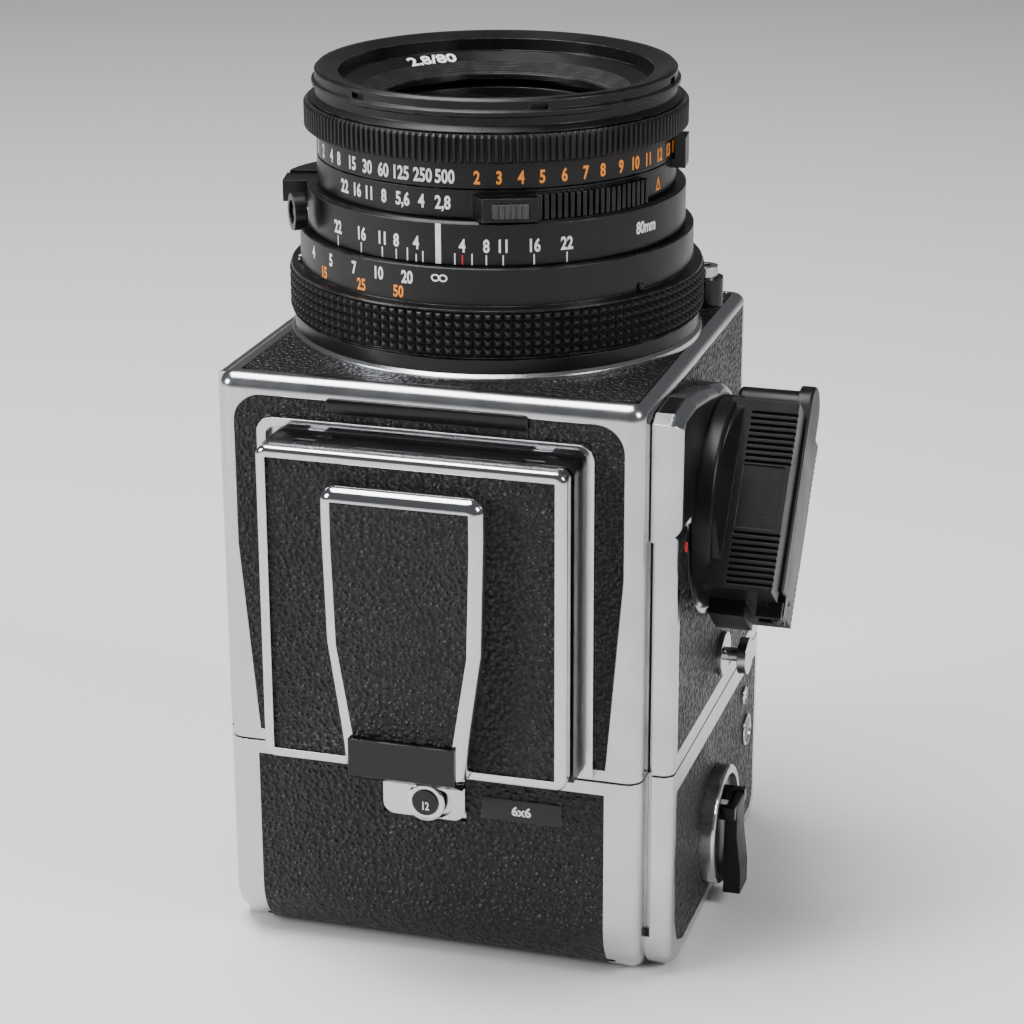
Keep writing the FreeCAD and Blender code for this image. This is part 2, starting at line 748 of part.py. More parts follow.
def make_lens_catch():
    piece = Piece("lens_catch_button")
    place = ("-release_x", "release_y")
    piece.pad("XY", "front_z - leather", "front_z + catch_button_proud", (place, "catch_button_r"))
    top = size("front_z") + size("catch_button_proud")
    piece.round("0.8", lambda bb: near(bb.ZMin, top))
    return piece


def crank_place(piece):
    """Crank pieces are built with their axis on X and their length on Z, then turned."""
    turn = FreeCAD.Rotation(FreeCAD.Vector(1, 0, 0), -size("crank_turn"))
    piece.body.Placement = FreeCAD.Placement(FreeCAD.Vector(), turn)
    piece.body.setExpression("Placement.Base.y", bound("-crank_y"))
    piece.body.setExpression("Placement.Base.z", bound("crank_z"))
    return piece


ARM_OUTER = "crank_block_outer + crank_arm_proud"
ARM_INNER = f"{ARM_OUTER} - crank_arm_thick"
ARM_AXIS = f"{ARM_OUTER} - crank_arm_thick / 2"
GRIP_Z = "crank_block_high + 0.2 + crank_grip_r"
BLOCK_FOOT = "crank_disc_outer + crank_shoulder"


def make_crank_ramp():
    """Two slopes on the disc that rise from its rim to the foot of the block."""
    ramp = Piece("crank_ramp")
    ramp.pad("YZ", "crank_disc_outer - 0.5", BLOCK_FOOT, (("0", "0"), "crank_disc_r - 0.8"))
    for side in ("-", ""):
        ramp.cut("XY", "-crank_disc_r", "crank_disc_r", [
            (BLOCK_FOOT, f"{side}crank_block_half"), (BLOCK_FOOT + " + 1", f"{side}crank_block_half"),
            (BLOCK_FOOT + " + 1", f"{side}(crank_disc_r + 1)"),
            ("crank_disc_outer", f"{side}(crank_disc_r + 1)"),
            ("crank_disc_outer", f"{side}(crank_disc_r - 0.8)")])
    ramp.cut("YZ", "crank_disc_outer - 1", BLOCK_FOOT + " + 1",
             box("-crank_disc_r", "crank_disc_r", "crank_block_high - 0.5", "crank_disc_r + 1"))
    return crank_place(ramp)


def make_crank_hub():
    piece = Piece("crank_knob")
    base = "right_outer + 0.4"
    piece.pad("YZ", "shell_half - side_wall + 1", base, (("0", "0"), "crank_shaft_r"))
    piece.pad("YZ", base, "crank_disc_outer", (("0", "0"), "crank_disc_r"))
    disc = size("crank_disc_outer")
    piece.round("0.8", lambda bb: near(bb.XMin, disc) and near(bb.XMax, disc))
    piece.cut("YZ", base + " + 1", "crank_disc_outer + 1", (("0", GRIP_Z), "crank_grip_r + 0.5"))
    piece.pad("YZ", "crank_disc_outer - 1", "crank_block_outer",
              box("-crank_block_half", "crank_block_half", "-crank_block_low", "crank_block_high"))
    # the catch at the block's low end, and the channel in which the arm lies
    piece.pad("YZ", "crank_disc_outer - 1", "crank_disc_outer + 6",
              box("-5", "5", "-(crank_block_low + 3.2)", "-(crank_block_low - 1)"))
    piece.cut("YZ", ARM_INNER + " - 0.3", "crank_block_outer + 1",
              box("-(crank_arm_half + 0.3)", "crank_arm_half + 0.3", "-(crank_block_low + 1)",
                  "crank_block_high + 1"))
    # two ears beside the arm's knuckle, joined by its pin
    for low, high in both_sides("crank_ear_inner", "crank_ear_outer"):
        piece.pad("YZ", ARM_AXIS + " - 3.7", ARM_AXIS + " + 1.2",
                  box(low, high, "-(crank_hinge + 1.2)", "-(crank_block_low - 1)"))
    piece.pad("XZ", "-crank_ear_outer", "crank_ear_outer", ((ARM_AXIS, "-crank_hinge"), "crank_pin_r"))
    # finger ribs on both flanks, above and below a sunk panel
    near_flank = ("-(crank_block_half + 1)", "-(crank_block_half - crank_rib_depth)")
    far_flank = ("crank_block_half - crank_rib_depth", "crank_block_half + 1")
    span = (BLOCK_FOOT + " + 1.5", "crank_block_outer + 1")
    for low in ("crank_panel_high + 0.3", "-(crank_block_low - 0.9)"):
        rib = piece.cut("XY", low, f"{low} + crank_rib_pitch / 2", box(*span, *near_flank),
                        box(*span, *far_flank))
        doc.recompute()
        piece.linear(rib, rib.Profile[0], "crank_rib_pitch * 8", 9)
    for flank in both_sides("crank_block_half - 0.3", "crank_block_half + 1"):
        piece.cut("XY", "-crank_panel_low", "crank_panel_high", box(span[0], "crank_block_outer - 1", *flank))
    hub = doc.addObject("Part::MultiFuse", "crank_hub")
    hub.Label = "crank_hub"
    hub.Shapes = [crank_place(piece).body, make_crank_ramp().body]
    return hub


def make_crank_arm():
    piece = Piece("crank_arm")
    tip = GRIP_Z + " - 1"
    piece.pad("YZ", ARM_INNER, ARM_OUTER,
              box("-crank_arm_half", "crank_arm_half", "-(crank_hinge - 3.4)", tip))
    piece.pad("YZ", ARM_INNER, ARM_OUTER, (("0", tip), "crank_arm_half"))
    outer = size("crank_block_outer") + size("crank_arm_proud")
    piece.round("0.5", lambda bb: near(bb.XMin, outer) and near(bb.XMax, outer))
    # the tongue with its knuckle between the ears of the block
    tongue = "crank_ear_inner - 0.1"
    piece.pad("YZ", ARM_INNER, ARM_OUTER, box(f"-({tongue})", tongue, "-crank_hinge", "-(crank_hinge - 4)"))
    piece.pad("XZ", f"-({tongue})", tongue, ((ARM_AXIS, "-crank_hinge"), "crank_arm_thick / 2"))
    piece.cut("XZ", "-2", "2", ((ARM_AXIS, "-crank_hinge"), "crank_pin_r + running_gap"))
    piece.cut("YZ", ARM_INNER + " - 1", ARM_OUTER + " - 1", (("0", GRIP_Z), "crank_pin_r + running_gap"))
    return crank_place(piece)


def make_crank_grip():
    piece = Piece("crank_grip")
    high = ARM_INNER + " - 0.3"
    piece.pad("YZ", high + " - crank_grip_length", high, (("0", GRIP_Z), "crank_grip_r"))
    piece.round("0.8", lambda bb: near(bb.XMin, bb.XMax) and bb.XMax < size("crank_block_outer") - 5)
    piece.pad("YZ", high + " - 0.1", ARM_OUTER + " - 1.2", (("0", GRIP_Z), "crank_pin_r"))
    return crank_place(piece)


def make_gear(label, teeth, centre_z, bore, axle=False):
    """A spur gear on an X axis, with straight-sided teeth and working backlash."""
    piece = Piece(label)
    pitch = f"gear_module * {teeth} / 2"
    root = f"{pitch} - gear_module * 1.1"
    low, high = "gear_start", "gear_start + gear_thick"
    piece.pad("YZ", low, high, (("0", "0"), root))
    tooth = piece.pad("YZ", low, high, [
        ("-gear_module * 0.8", f"{root} - 0.4"), ("gear_module * 0.8", f"{root} - 0.4"),
        ("gear_module * 0.6", pitch), ("gear_module * 0.35", f"{pitch} + gear_module * 0.75"),
        ("-gear_module * 0.35", f"{pitch} + gear_module * 0.75"), ("-gear_module * 0.6", pitch)])
    doc.recompute()
    piece.polar(tooth, int(round(size(teeth))), tooth.Profile[0])
    if axle:
        piece.pad("YZ", "shell_half - side_wall + 2", "shell_half + 2", (("0", "0"), bore))
        # half a tooth on, so that its teeth meet the gaps of the wheel above it
        half_tooth = FreeCAD.Rotation(FreeCAD.Vector(1, 0, 0), 180 / size(teeth))
        piece.body.Placement = FreeCAD.Placement(FreeCAD.Vector(), half_tooth)
    else:
        piece.cut("YZ", low + " - 1", high + " + 1", (("0", "0"), bore))
    piece.body.setExpression("Placement.Base.y", bound("-crank_y"))
    piece.body.setExpression("Placement.Base.z", bound(centre_z))
    return piece


def make_strap_lugs():
    """One stud on each side: a base disc, a stem and a button."""
    pieces = []
    for label, side in (("lug_right", "right_outer - leather"), ("lug_left", "left_outer - leather")):
        sign = "" if label == "lug_right" else "-"
        piece = Piece(label)
        steps = (("0", "1.6", "lug_r"), ("1.5", "lug_reach - 1", "lug_stem_r"),
                 ("lug_reach - 1.1", "lug_reach + leather", "lug_button_r"))
        for start, end, radius in steps:
            low, high = f"{side} + {start}", f"{side} + {end}"
            if sign:
                low, high = f"-({high})", f"-({low})"
            piece.pad("YZ", low, high, (("lug_y", "lug_z"), radius))
        pieces.append(piece)
    return joined("strap_lugs", pieces)


def joined(label, pieces):
    """Several separate solids kept as one sub-part."""
    group = doc.addObject("Part::Compound", label)
    group.Label = label
    group.Links = [piece.body for piece in pieces]
    return group


def make_accessory_rail():
    piece = Piece("accessory_rail")
    outer = "left_outer + rail_height"
    length = ("crank_z - rail_length", "crank_z")
    side = "rail_width / 2"
    piece.pad("YZ", f"-({outer})", "-left_outer", box(f"-({side})", side, *length))
    piece.cut("YZ", f"-(left_outer + rail_height - rail_lip)", "-(left_outer + 0.8)",
              box(f"-({side} - 1.4)", f"{side} - 1.4", length[0] + " - 1", length[1] + " - 1.4"))
    piece.cut("YZ", f"-({outer} + 1)", f"-(left_outer + 0.8)",
              box(f"-({side} - 3.4)", f"{side} - 3.4", length[0] + " - 1", length[1] + " - 1.4"))
    return piece


def make_tripod_foot():
    piece = Piece("tripod_foot")
    low, high = "bottom_depth", "bottom_depth + foot_height"
    piece.pad("XZ", low, high, box("-foot_half", "foot_half", "foot_rear", "foot_front"))
    piece.round("4", lambda bb: along(bb, "y"))
    for side in ("-", ""):
        a, b = f"{side}(foot_half - 2)", f"{side}(foot_half + 1)"
        x = (a, b) if not side else (b, a)
        piece.cut("XZ", low + " + 2", low + " + 4", box(x[0], x[1], "foot_rear - 1", "foot_front + 1"))
    for z, radius in (("socket_small_z", "socket_small_r"), ("socket_large_z", "socket_large_r")):
        piece.cut("XZ", high + " - socket_depth", high + " + 1", (("0", z), radius))
    return piece


# Finder


def make_finder_base():
    piece = Piece("finder_base")
    piece.pad("XZ", "-finder_rim_y", "-top_height",
              box("-finder_half", "finder_half", "finder_rear", "finder_front"))
    front = size("finder_front")
    piece.round("2", lambda bb: along(bb, "y") and near(bb.ZMin, front))
    piece.cut("XZ", "-(finder_rim_y + 1)", "-(top_height + finder_floor)",
              box("-(finder_half - finder_wall)", "finder_half - finder_wall",
                  "finder_rear + finder_wall", "finder_front - finder_wall"))
    piece.cut("XZ", "-(top_height + 2)", "-(top_height - 1)",
              box("-(window_half - 1)", "window_half - 1", "screen_rear + 2", "screen_front - 2"))
    for low, high in both_sides("lid_lug_inner - 0.3", "lid_lug_outer + 0.3"):
        piece.cut("XZ", "-(finder_rim_y + 1)", "-(lid_pivot_y - 1.4)",
                  box(low, high, "finder_front - finder_wall - 1", "finder_front + 1"))
        piece.pad("YZ", f"{low} - 0.5", f"{high} + 0.5", (("-lid_pivot_y", "lid_pivot_z"), "lid_pin_r"))
    # bearings of the hood: rear blocks and holes in the walls
    for low, high in both_sides("hood_hinge_x - 0.9", "finder_half - 1"):
        piece.pad("XZ", "-(hood_hinge_y + 0.9)", "-(top_height + finder_floor - 0.2)",
                  box(low, high, "hood_hinge_z + 1.1", "hood_hinge_z + 1.1 + hood_lug"))
    hole = "hood_barrel_r + running_gap"
    piece.cut("YZ", "-(finder_half - 0.4)", "finder_half - 0.4", (("-hood_hinge_y", "hood_hinge_z"), hole))
    for x in ("-hood_hinge_x", "hood_hinge_x"):
        piece.cut("XY", "hood_hinge_z + 0.9", "finder_front - 0.4", ((x, "-hood_hinge_y"), hole))
    return piece


def both_sides(inner, outer):
    """The same span on the left and on the right of the middle plane."""
    return ((f"-({outer})", f"-({inner})"), (inner, outer))


COVER_FOOT = "lid_under_y + lid_plate + lid_leather"


def lid_box(inset):
    return box(f"-(lid_half - ({inset}))", f"lid_half - ({inset})",
               f"lid_rear + ({inset})", f"lid_front - ({inset})")


def make_lid_frame():
    piece = Piece("lid_frame")
    top = f"{COVER_FOOT} + lid_rim_proud"
    piece.pad("XZ", f"-({top})", "-lid_under_y", lid_box("0"))
    crest = -(size("lid_under_y") + size("lid_plate") + size("lid_leather") + size("lid_rim_proud"))
    piece.round("2.2", lambda bb: along(bb, "y"))
    piece.round("1.2", lambda bb: near(bb.YMin, crest) and near(bb.YMax, crest))
    piece.cut("XZ", f"-({top} + 1)", "-(lid_under_y + lid_plate)", lid_box("lid_rim"))
    pivot = ("-lid_pivot_y", "lid_pivot_z")
    for low, high in both_sides("lid_lug_inner", "lid_lug_outer"):
        piece.pad("YZ", low, high, box("-(lid_under_y + 0.5)", "-lid_pivot_y",
                                       "lid_pivot_z - 1.1", "lid_pivot_z + 1.1"))
        piece.pad("YZ", low, high, (pivot, "1.1"))
        piece.cut("YZ", f"{low} - 0.2", f"{high} + 0.2", (pivot, "lid_pin_r + running_gap"))
    # two lugs under the free end carry the magnifier's pin
    for low, high in both_sides("loupe_lug", "loupe_lug + 2.2"):
        piece.pad("YZ", low, high, box("-(lid_under_y + 0.5)", "-(loupe_pivot_y - 1.1)",
                                       "loupe_pivot_z - 1.2", "loupe_pivot_z + 1.2"))
    piece.pad("YZ", "-(loupe_lug + 0.2)", "loupe_lug + 0.2",
              (("-loupe_pivot_y", "loupe_pivot_z"), "loupe_pin_r"))
    return piece


def cover_outline(inset):
    """The raised cover on the lid: wide at the front, narrower from its middle to the tab."""
    front, rear = f"cover_front_half - ({inset})", f"cover_rear_half - ({inset})"
    bend = "cover_rear + (cover_front - cover_rear) * 0.45"
    end = f"cover_rear + ({inset})"
    return [(f"-({rear})", end), (rear, end), (f"({front}) - 0.6", bend),
            (front, f"cover_front - ({inset}) - 8"),
            (front, f"cover_front - ({inset})"), (f"-({front})", f"cover_front - ({inset})"),
            (f"-({front})", f"cover_front - ({inset}) - 8"), (f"-({front}) + 0.6", bend)]


def make_magnifier_cover():
    piece = Piece("magnifier_cover")
    top = f"{COVER_FOOT} + cover_height"
    piece.pad("XZ", f"-({top})", f"-({COVER_FOOT})", cover_outline("0"))
    crest = -(size("lid_under_y") + size("lid_plate") + size("lid_leather") + size("cover_height"))
    piece.round("cover_corner", lambda bb: along(bb, "y") and bb.ZMin > size("cover_front") - 1)
    piece.round("cover_edge", lambda bb: near(bb.YMin, crest) and near(bb.YMax, crest)
                and bb.ZMax > size("cover_rear") + 1)
    piece.cut("XZ", f"-({top} + 1)", f"-({top} - lid_leather)", cover_outline("cover_rim"))
    return piece


def make_lid_leathers():
    panel = Piece("lid_panel")
    low, high = f"-({COVER_FOOT})", "-(lid_under_y + lid_plate)"
    panel.pad("XZ", low, high, lid_box("lid_rim + seam / 2"))
    inlay = Piece("cover_panel")
    top = f"{COVER_FOOT} + cover_height"
    inlay.pad("XZ", f"-({top})", f"-({top} - lid_leather)", cover_outline("cover_rim + seam / 2"))
    inlay.cut("XZ", f"-({top} + 1)", f"-({top} - lid_leather - 1)",
              box("-20", "20", "lid_rear - 5", "tab_front + seam"))
    return joined("lid_leathers", [panel, inlay])


def make_lid_tab():
    """The black lifting tab: flat on the cover, then bent down over the lid's rear edge."""
    piece = Piece("lid_tab")
    top = f"{COVER_FOOT} + cover_height"
    piece.pad("YZ", "-tab_front_half", "tab_front_half", [
        (f"-({top})", "tab_front"), (f"-({top} + tab_thick)", "tab_front"),
        (f"-({top} + tab_thick)", "lid_rear + 1.6"), (f"-({top} + tab_thick - tab_drop)", "tab_rear"),
        (f"-({top} - tab_drop - 1)", "tab_rear"), (f"-({top} - tab_drop - 1)", "lid_rear - seam"),
        (f"-({top} - tab_drop)", "lid_rear - seam"), (f"-({top})", "cover_rear - seam")])
    return piece


def make_hood_side(label, side):
    """A hood panel lying flat under the lid, hinged along its outer edge."""
    piece = Piece(label)
    sign = "-" if side < 0 else ""
    edge, inner = f"{sign}hood_hinge_x", f"{sign}(hood_hinge_x - hood_height)"
    start = "hood_hinge_z + 1.1 + hood_lug + 0.3"
    corner = f"{sign}(hood_hinge_x - ({start} - hood_hinge_z - hood_mitre))"
    piece.pad("XZ", "-(hood_hinge_y + hood_thick / 2)", "-(hood_hinge_y - hood_thick / 2)", [
        (edge, start), (corner, start), (inner, "hood_hinge_z + hood_mitre + hood_height"),
        (inner, "hood_shoulder"), (f"{sign}(hood_hinge_x - hood_front_height)", "hood_front"),
        (edge, "hood_front")])
    piece.pad("XY", "hood_hinge_z + 1.1", "finder_front - 0.6", ((edge, "-hood_hinge_y"), "hood_barrel_r"))
    return piece


def make_hood_rear():
    piece = Piece("hood_rear")
    wide, narrow = "hood_hinge_x - 1", "hood_hinge_x - hood_height - hood_mitre"
    slope = "hood_hinge_z + 0.6"
    reach = f"{slope} + ({wide}) - ({narrow})"
    piece.pad("XZ", "-(hood_hinge_y + hood_thick / 2)", "-(hood_hinge_y - hood_thick / 2)", [
        (f"-({wide})", "hood_hinge_z"), (wide, "hood_hinge_z"), (wide, slope),
        (narrow, reach), (f"-({narrow})", reach), (f"-({wide})", slope)])
    piece.pad("YZ", "-(finder_half - 0.6)", "finder_half - 0.6",
              (("-hood_hinge_y", "hood_hinge_z"), "hood_barrel_r"))
    return piece


LOUPE_Z = "loupe_pivot_z + loupe_ring_r + 2"


def make_magnifier_ring():
    piece = Piece("magnifier_ring")
    low, high = "-(loupe_pivot_y + loupe_thick / 2)", "-(loupe_pivot_y - loupe_thick / 2)"
    pivot = ("-loupe_pivot_y", "loupe_pivot_z")
    arm = "loupe_lug - 0.4"
    piece.pad("XZ", low, high, (("0", LOUPE_Z), "loupe_ring_r"))
    piece.pad("XZ", low, high, box(f"-({arm})", arm, "loupe_pivot_z", LOUPE_Z))
    piece.pad("YZ", f"-({arm})", arm, (pivot, "loupe_barrel_r"))
    piece.cut("YZ", "-loupe_lug", "loupe_lug", (pivot, "loupe_pin_r + running_gap"))
    piece.cut("XZ", "-(loupe_pivot_y + 2)", "-(loupe_pivot_y - 2)", (("0", LOUPE_Z), "loupe_lens_r"))
    return piece


def make_magnifier_lens():
    piece = Piece("magnifier_lens")
    piece.pad("XZ", "-(loupe_pivot_y + loupe_thick / 2)", "-(loupe_pivot_y - loupe_thick / 2)",
              (("0", LOUPE_Z), "loupe_lens_r"))
    return piece


# Lens


def make_lens_mount():
    piece = Piece("lens_mount")
    piece.turn([("lens_bore", "lens_rear"), ("bayonet_r", "lens_rear"), ("bayonet_r", "flange_z"),
                ("flange_r", "flange_z"), ("flange_r", "focus_grip_rear - ring_gap"),
                ("guide_outer", "focus_grip_rear - ring_gap"), ("guide_outer", "guide_front"),
                ("guide_inner", "guide_front"), ("guide_inner", "core_rear - 0.4"),
                ("lens_bore", "core_rear - 0.4")])
    return piece


def make_focus_ring():
    piece = Piece("focus_ring")
    bore = "guide_outer + running_gap"
    piece.turn([(bore, "focus_grip_rear"), ("focus_grip_r", "focus_grip_rear"),
                ("focus_grip_r", "focus_grip_front"),
                ("focus_grip_r - 0.4", "focus_grip_front + 0.2"), ("focus_band_r", "focus_grip_front + 0.5"),
                ("focus_band_r", "focus_front"), (bore, "focus_front")])
    return piece


def make_lens_core():
    piece = Piece("lens_core")
    front_seat, rear_seat = "front_glass_z - glass_seat", "rear_glass_z + glass_seat"
    iris_bore, rear_bore = "iris_hole + 4", "rear_glass_r - 2"
    piece.turn([("rear_glass_r", "core_rear"), ("core_outer", "core_rear"), ("core_outer", "rim_rear"),
                ("core_inner", "rim_rear"), ("core_inner", "front_glass_z + 2"),
                ("front_glass_r", "front_glass_z + 2"), ("front_glass_r", front_seat),
                ("front_glass_r - 2", front_seat), (iris_bore, "iris_z + 3"),
                (iris_bore, "iris_z + 1"), ("core_inner", "iris_z + 1"), ("core_inner", "iris_z - 1"),
                (iris_bore, "iris_z - 1"), (rear_bore, "iris_z - 4"),
                (rear_bore, rear_seat), ("rear_glass_r", rear_seat)])
    return piece


def make_iris_blades():
    """Five leaves side by side round the opening, drawn at full aperture."""
    count = int(round(size("iris_blades")))
    reach = "core_inner * 2"
    half = f"tan(180 deg / iris_blades) * {reach}"
    far = "core_inner * 3"
    leaves = []
    for i in range(count):
        leaf = Piece(f"iris_leaf_{i + 1}")
        leaf.pad("XY", "iris_z - iris_thick", "iris_z + iris_thick", (("0", "0"), "core_inner - 0.3"))
        leaf.cut("XY", "iris_z - 1", "iris_z + 1", (("0", "0"), "iris_hole"))
        # everything outside this leaf's fifth is cut away
        leaf.cut("XY", "iris_z - 1", "iris_z + 1", [
            ("0.2", "0"), (reach, f"{half} - 0.2"), (reach, far), (f"-{far}", far),
            (f"-{far}", f"-{far}"), (reach, f"-{far}"), (reach, f"-({half}) + 0.2")])
        turn = FreeCAD.Rotation(FreeCAD.Vector(0, 0, 1), 360.0 / count * i)
        leaf.body.Placement = FreeCAD.Placement(FreeCAD.Vector(), turn)
        leaves.append(leaf)
    return joined("iris_blades", leaves)


def make_glass(label, radius, crown, edge, flat, forward):
    """A plano-convex element: a cylinder between its flat face and a ball's surface."""
    disc = doc.addObject("Part::Cylinder", label + "_disc")
    disc.setExpression("Radius", bound(radius))
    ball = doc.addObject("Part::Sphere", label + "_ball")
    ball.setExpression("Radius", bound(crown))
    rise = f"sqrt({crown} ^ 2 - {radius} ^ 2)"
    if forward:
        disc.setExpression("Placement.Base.z", bound(flat))
        ball.setExpression("Placement.Base.z", bound(f"{edge} - {rise}"))
    else:
        disc.setExpression("Placement.Base.z", bound(f"{flat} - 2 * glass_seat"))
        ball.setExpression("Placement.Base.z", bound(f"{edge} + {rise}"))
    disc.setExpression("Height", bound("2 * glass_seat + 2" if forward else "2 * glass_seat"))
    glass = doc.addObject("Part::Common", label)
    glass.Label = label
    glass.Base = disc
    glass.Tool = ball
    return glass


def make_depth_ring():
    """The fixed ring with its lobe on the left; the lobe ends flat along the preview tab."""
    piece = Piece("depth_ring")
    bore = "core_outer"
    centre = ("cos(bulge_angle * 1 deg) * bulge_shift", "sin(bulge_angle * 1 deg) * bulge_shift")
    piece.pad("XY", "bulge_rear", "depth_front", (centre, "bulge_r"))
    side, far = "preview_width / 2 + 0.1", "60"
    piece.cut("XY", "bulge_rear - 1", "depth_front + 1", turned_outline(
        "preview_angle", [(f"-{far}", side), (far, side), (far, far), (f"-{far}", far)]))
    piece.turn([(bore, "depth_rear"), ("depth_r", "depth_rear"), ("depth_r", "depth_front - 0.5"),
                ("depth_r - 0.5", "depth_front"), (bore, "depth_front")])
    piece.cut("XY", "bulge_rear - 1", "depth_front + 1", (("0", "0"), bore))
    piece.cut("XY", "bulge_rear - 1", "depth_front + 1",
              radial("preview_angle", "preview_reach + 3", "preview_width / 2 + 0.1", "depth_r - 2.4"))
    # the flat seat of the flash terminal, wide enough for a cable plug round it
    piece.cut("XY", "bulge_rear - 1", "depth_front - 0.4",
              radial("sync_angle", far, "sync_r + 0.9", "sync_floor"))
    return piece


def turned_outline(angle, points):
    """Points given as distance from the lens axis and sideways offset, turned to an angle."""
    return [(f"cos(({angle}) * 1 deg) * ({out}) - ({side}) * sin(({angle}) * 1 deg)",
             f"sin(({angle}) * 1 deg) * ({out}) + ({side}) * cos(({angle}) * 1 deg)") for out, side in points]


def radial(angle, reach, half, inner="core_outer + 1"):
    """A rectangle that points away from the lens axis at an angle."""
    return turned_outline(angle, [(inner, f"-({half})"), (reach, f"-({half})"), (reach, half), (inner, half)])


def make_preview_tab():
    """The depth preview tab, a block that is pushed back along its slot in the lobe."""
    piece = Piece("preview_tab")
    piece.pad("XY", "depth_front - 0.5 - preview_height", "depth_front - 0.5",
              radial("preview_angle", "preview_reach", "preview_width / 2", "depth_r - 2.3"))
    return piece


def make_sync_socket():
    """The flash terminal: a collar with a centre pin, pointing away from the lens axis."""
    piece = Piece("sync_socket")
    piece.pad("YZ", "sync_floor + running_gap", "sync_reach", (("0", "0"), "sync_r"))
    piece.cut("YZ", "sync_floor + 0.6", "sync_reach + 1", (("0", "0"), "sync_pin_r + 0.6"))
    piece.pad("YZ", "sync_floor + 0.4", "sync_reach - 0.4", (("0", "0"), "sync_pin_r / 2"))
    turn = FreeCAD.Rotation(FreeCAD.Vector(0, 0, 1), size("sync_angle"))
    piece.body.Placement = FreeCAD.Placement(FreeCAD.Vector(), turn)
    piece.body.setExpression("Placement.Base.z", bound("sync_z"))
    return piece


def make_aperture_ring():
    """The ring with the block of the interlock button, a band of ribs and the side tab."""
    piece = Piece("aperture_ring")
    low, block_at, tab_at = "depth_front + ring_gap", "-90 + interlock_angle", "-90 + side_tab_angle"
    piece.turn(ring_outline("dial_bore", "dial_r", low, "aperture_front"))
    reach, half = "dial_r + interlock_reach", "interlock_width / 2"
    piece.pad("XY", low, "aperture_front - 0.9", turned_outline(block_at, [
        ("dial_r - 1", f"-({half} + 1.8)"), (reach, f"-({half})"), (reach, half), ("dial_r - 1", half)]))
    piece.cut("XY", low + " + 0.6", "aperture_front - 1.8",
              radial(block_at, reach + " + 1", "interlock_button_width / 2 + 0.1", "dial_r + 0.2"))
    rib = piece.pad("XY", low, "aperture_front - 0.7",
                    radial("-90 + aperture_rib_first", "dial_r + aperture_rib_reach", "0.36", "dial_r - 0.5"))
    doc.recompute()
    piece.polar(rib, 20, rib.Profile[0], size("aperture_rib_span"))
    # the side tab starts on this ring and stands free in front of the scale of the next one
    piece.pad("XY", "aperture_front - side_tab_hang", "aperture_front - 0.2",
              radial(tab_at, "dial_r + side_tab_reach", "side_tab_half", "dial_r - 1"))
    piece.pad("XY", "aperture_front - 0.4", "side_tab_front",
              radial(tab_at, "dial_r + side_tab_reach", "side_tab_half", "dial_r + ring_gap"))
    return piece


def make_interlock_button():
    """A small ribbed button sunk in the block of the aperture ring."""
    piece = Piece("interlock_button")
    low, high = "depth_front + ring_gap + 0.7", "aperture_front - 1.9"
    face = "dial_r + interlock_reach + 0.1"
    piece.pad("XY", low, high, radial("-90 + interlock_angle", face, "interlock_button_width / 2",
                                      "dial_r + 0.4 + interlock_press"))
    pitch = "interlock_button_width / 6.4"
    ribs = [box(f"{pitch} * {i - 2.5} - 0.3", f"{pitch} * {i - 2.5} + 0.3", face + " - 0.2", face + " + 0.4")
            for i in range(6)]
    piece.pad("XY", low, high, *[turned_outline("-90 + interlock_angle", [(out, side) for side, out in rib])
                                 for rib in ribs])
    return piece


def make_speed_ring():
    piece = Piece("speed_ring")
    piece.turn([("dial_bore", "speed_rear"), ("dial_r", "speed_rear"), ("dial_r", "speed_grip_rear"),
                ("speed_grip_r", "speed_grip_rear"), ("speed_grip_r", "speed_grip_front"),
                ("dial_bore", "speed_grip_front")])
    return piece


def make_front_rim():
    """The rim with two raised lines round it, a row of small pockets and the filter thread's bore."""
    piece = Piece("front_rim")
    throat, line = "core_inner", "rim_r + rim_flange"
    piece.turn([("baffle_r", "baffle_z"), (throat, "baffle_z + 0.2"), (throat, "rim_rear"),
                ("rim_r + 0.9", "rim_rear"), ("rim_r - 0.1", "rim_rear + 1.1"),
                ("rim_r - 0.1", "rim_front - 3.5"),
                (line, "rim_front - 3.1"), (line, "rim_front - 2.4"), ("rim_r", "rim_front - 2"),
                ("rim_r", "rim_front - 0.5"), ("rim_r - 0.5", "rim_front"), ("lip_inner", "rim_front"),
                ("filter_bore", "rim_front - 1"), ("filter_bore", "rim_front - 3.4"),
                ("filter_bore - 1.2", "rim_front - 3.4"), ("baffle_r", "baffle_z + 1")])
    pocket = piece.cut("XY", "rim_front - 2.1", "rim_front - 1",
                       radial("-90 + 30", "rim_r + 2", "1.6", "rim_r - 0.9"))
    doc.recompute()
    piece.polar(pocket, 6, pocket.Profile[0])
    return piece


# Magazine


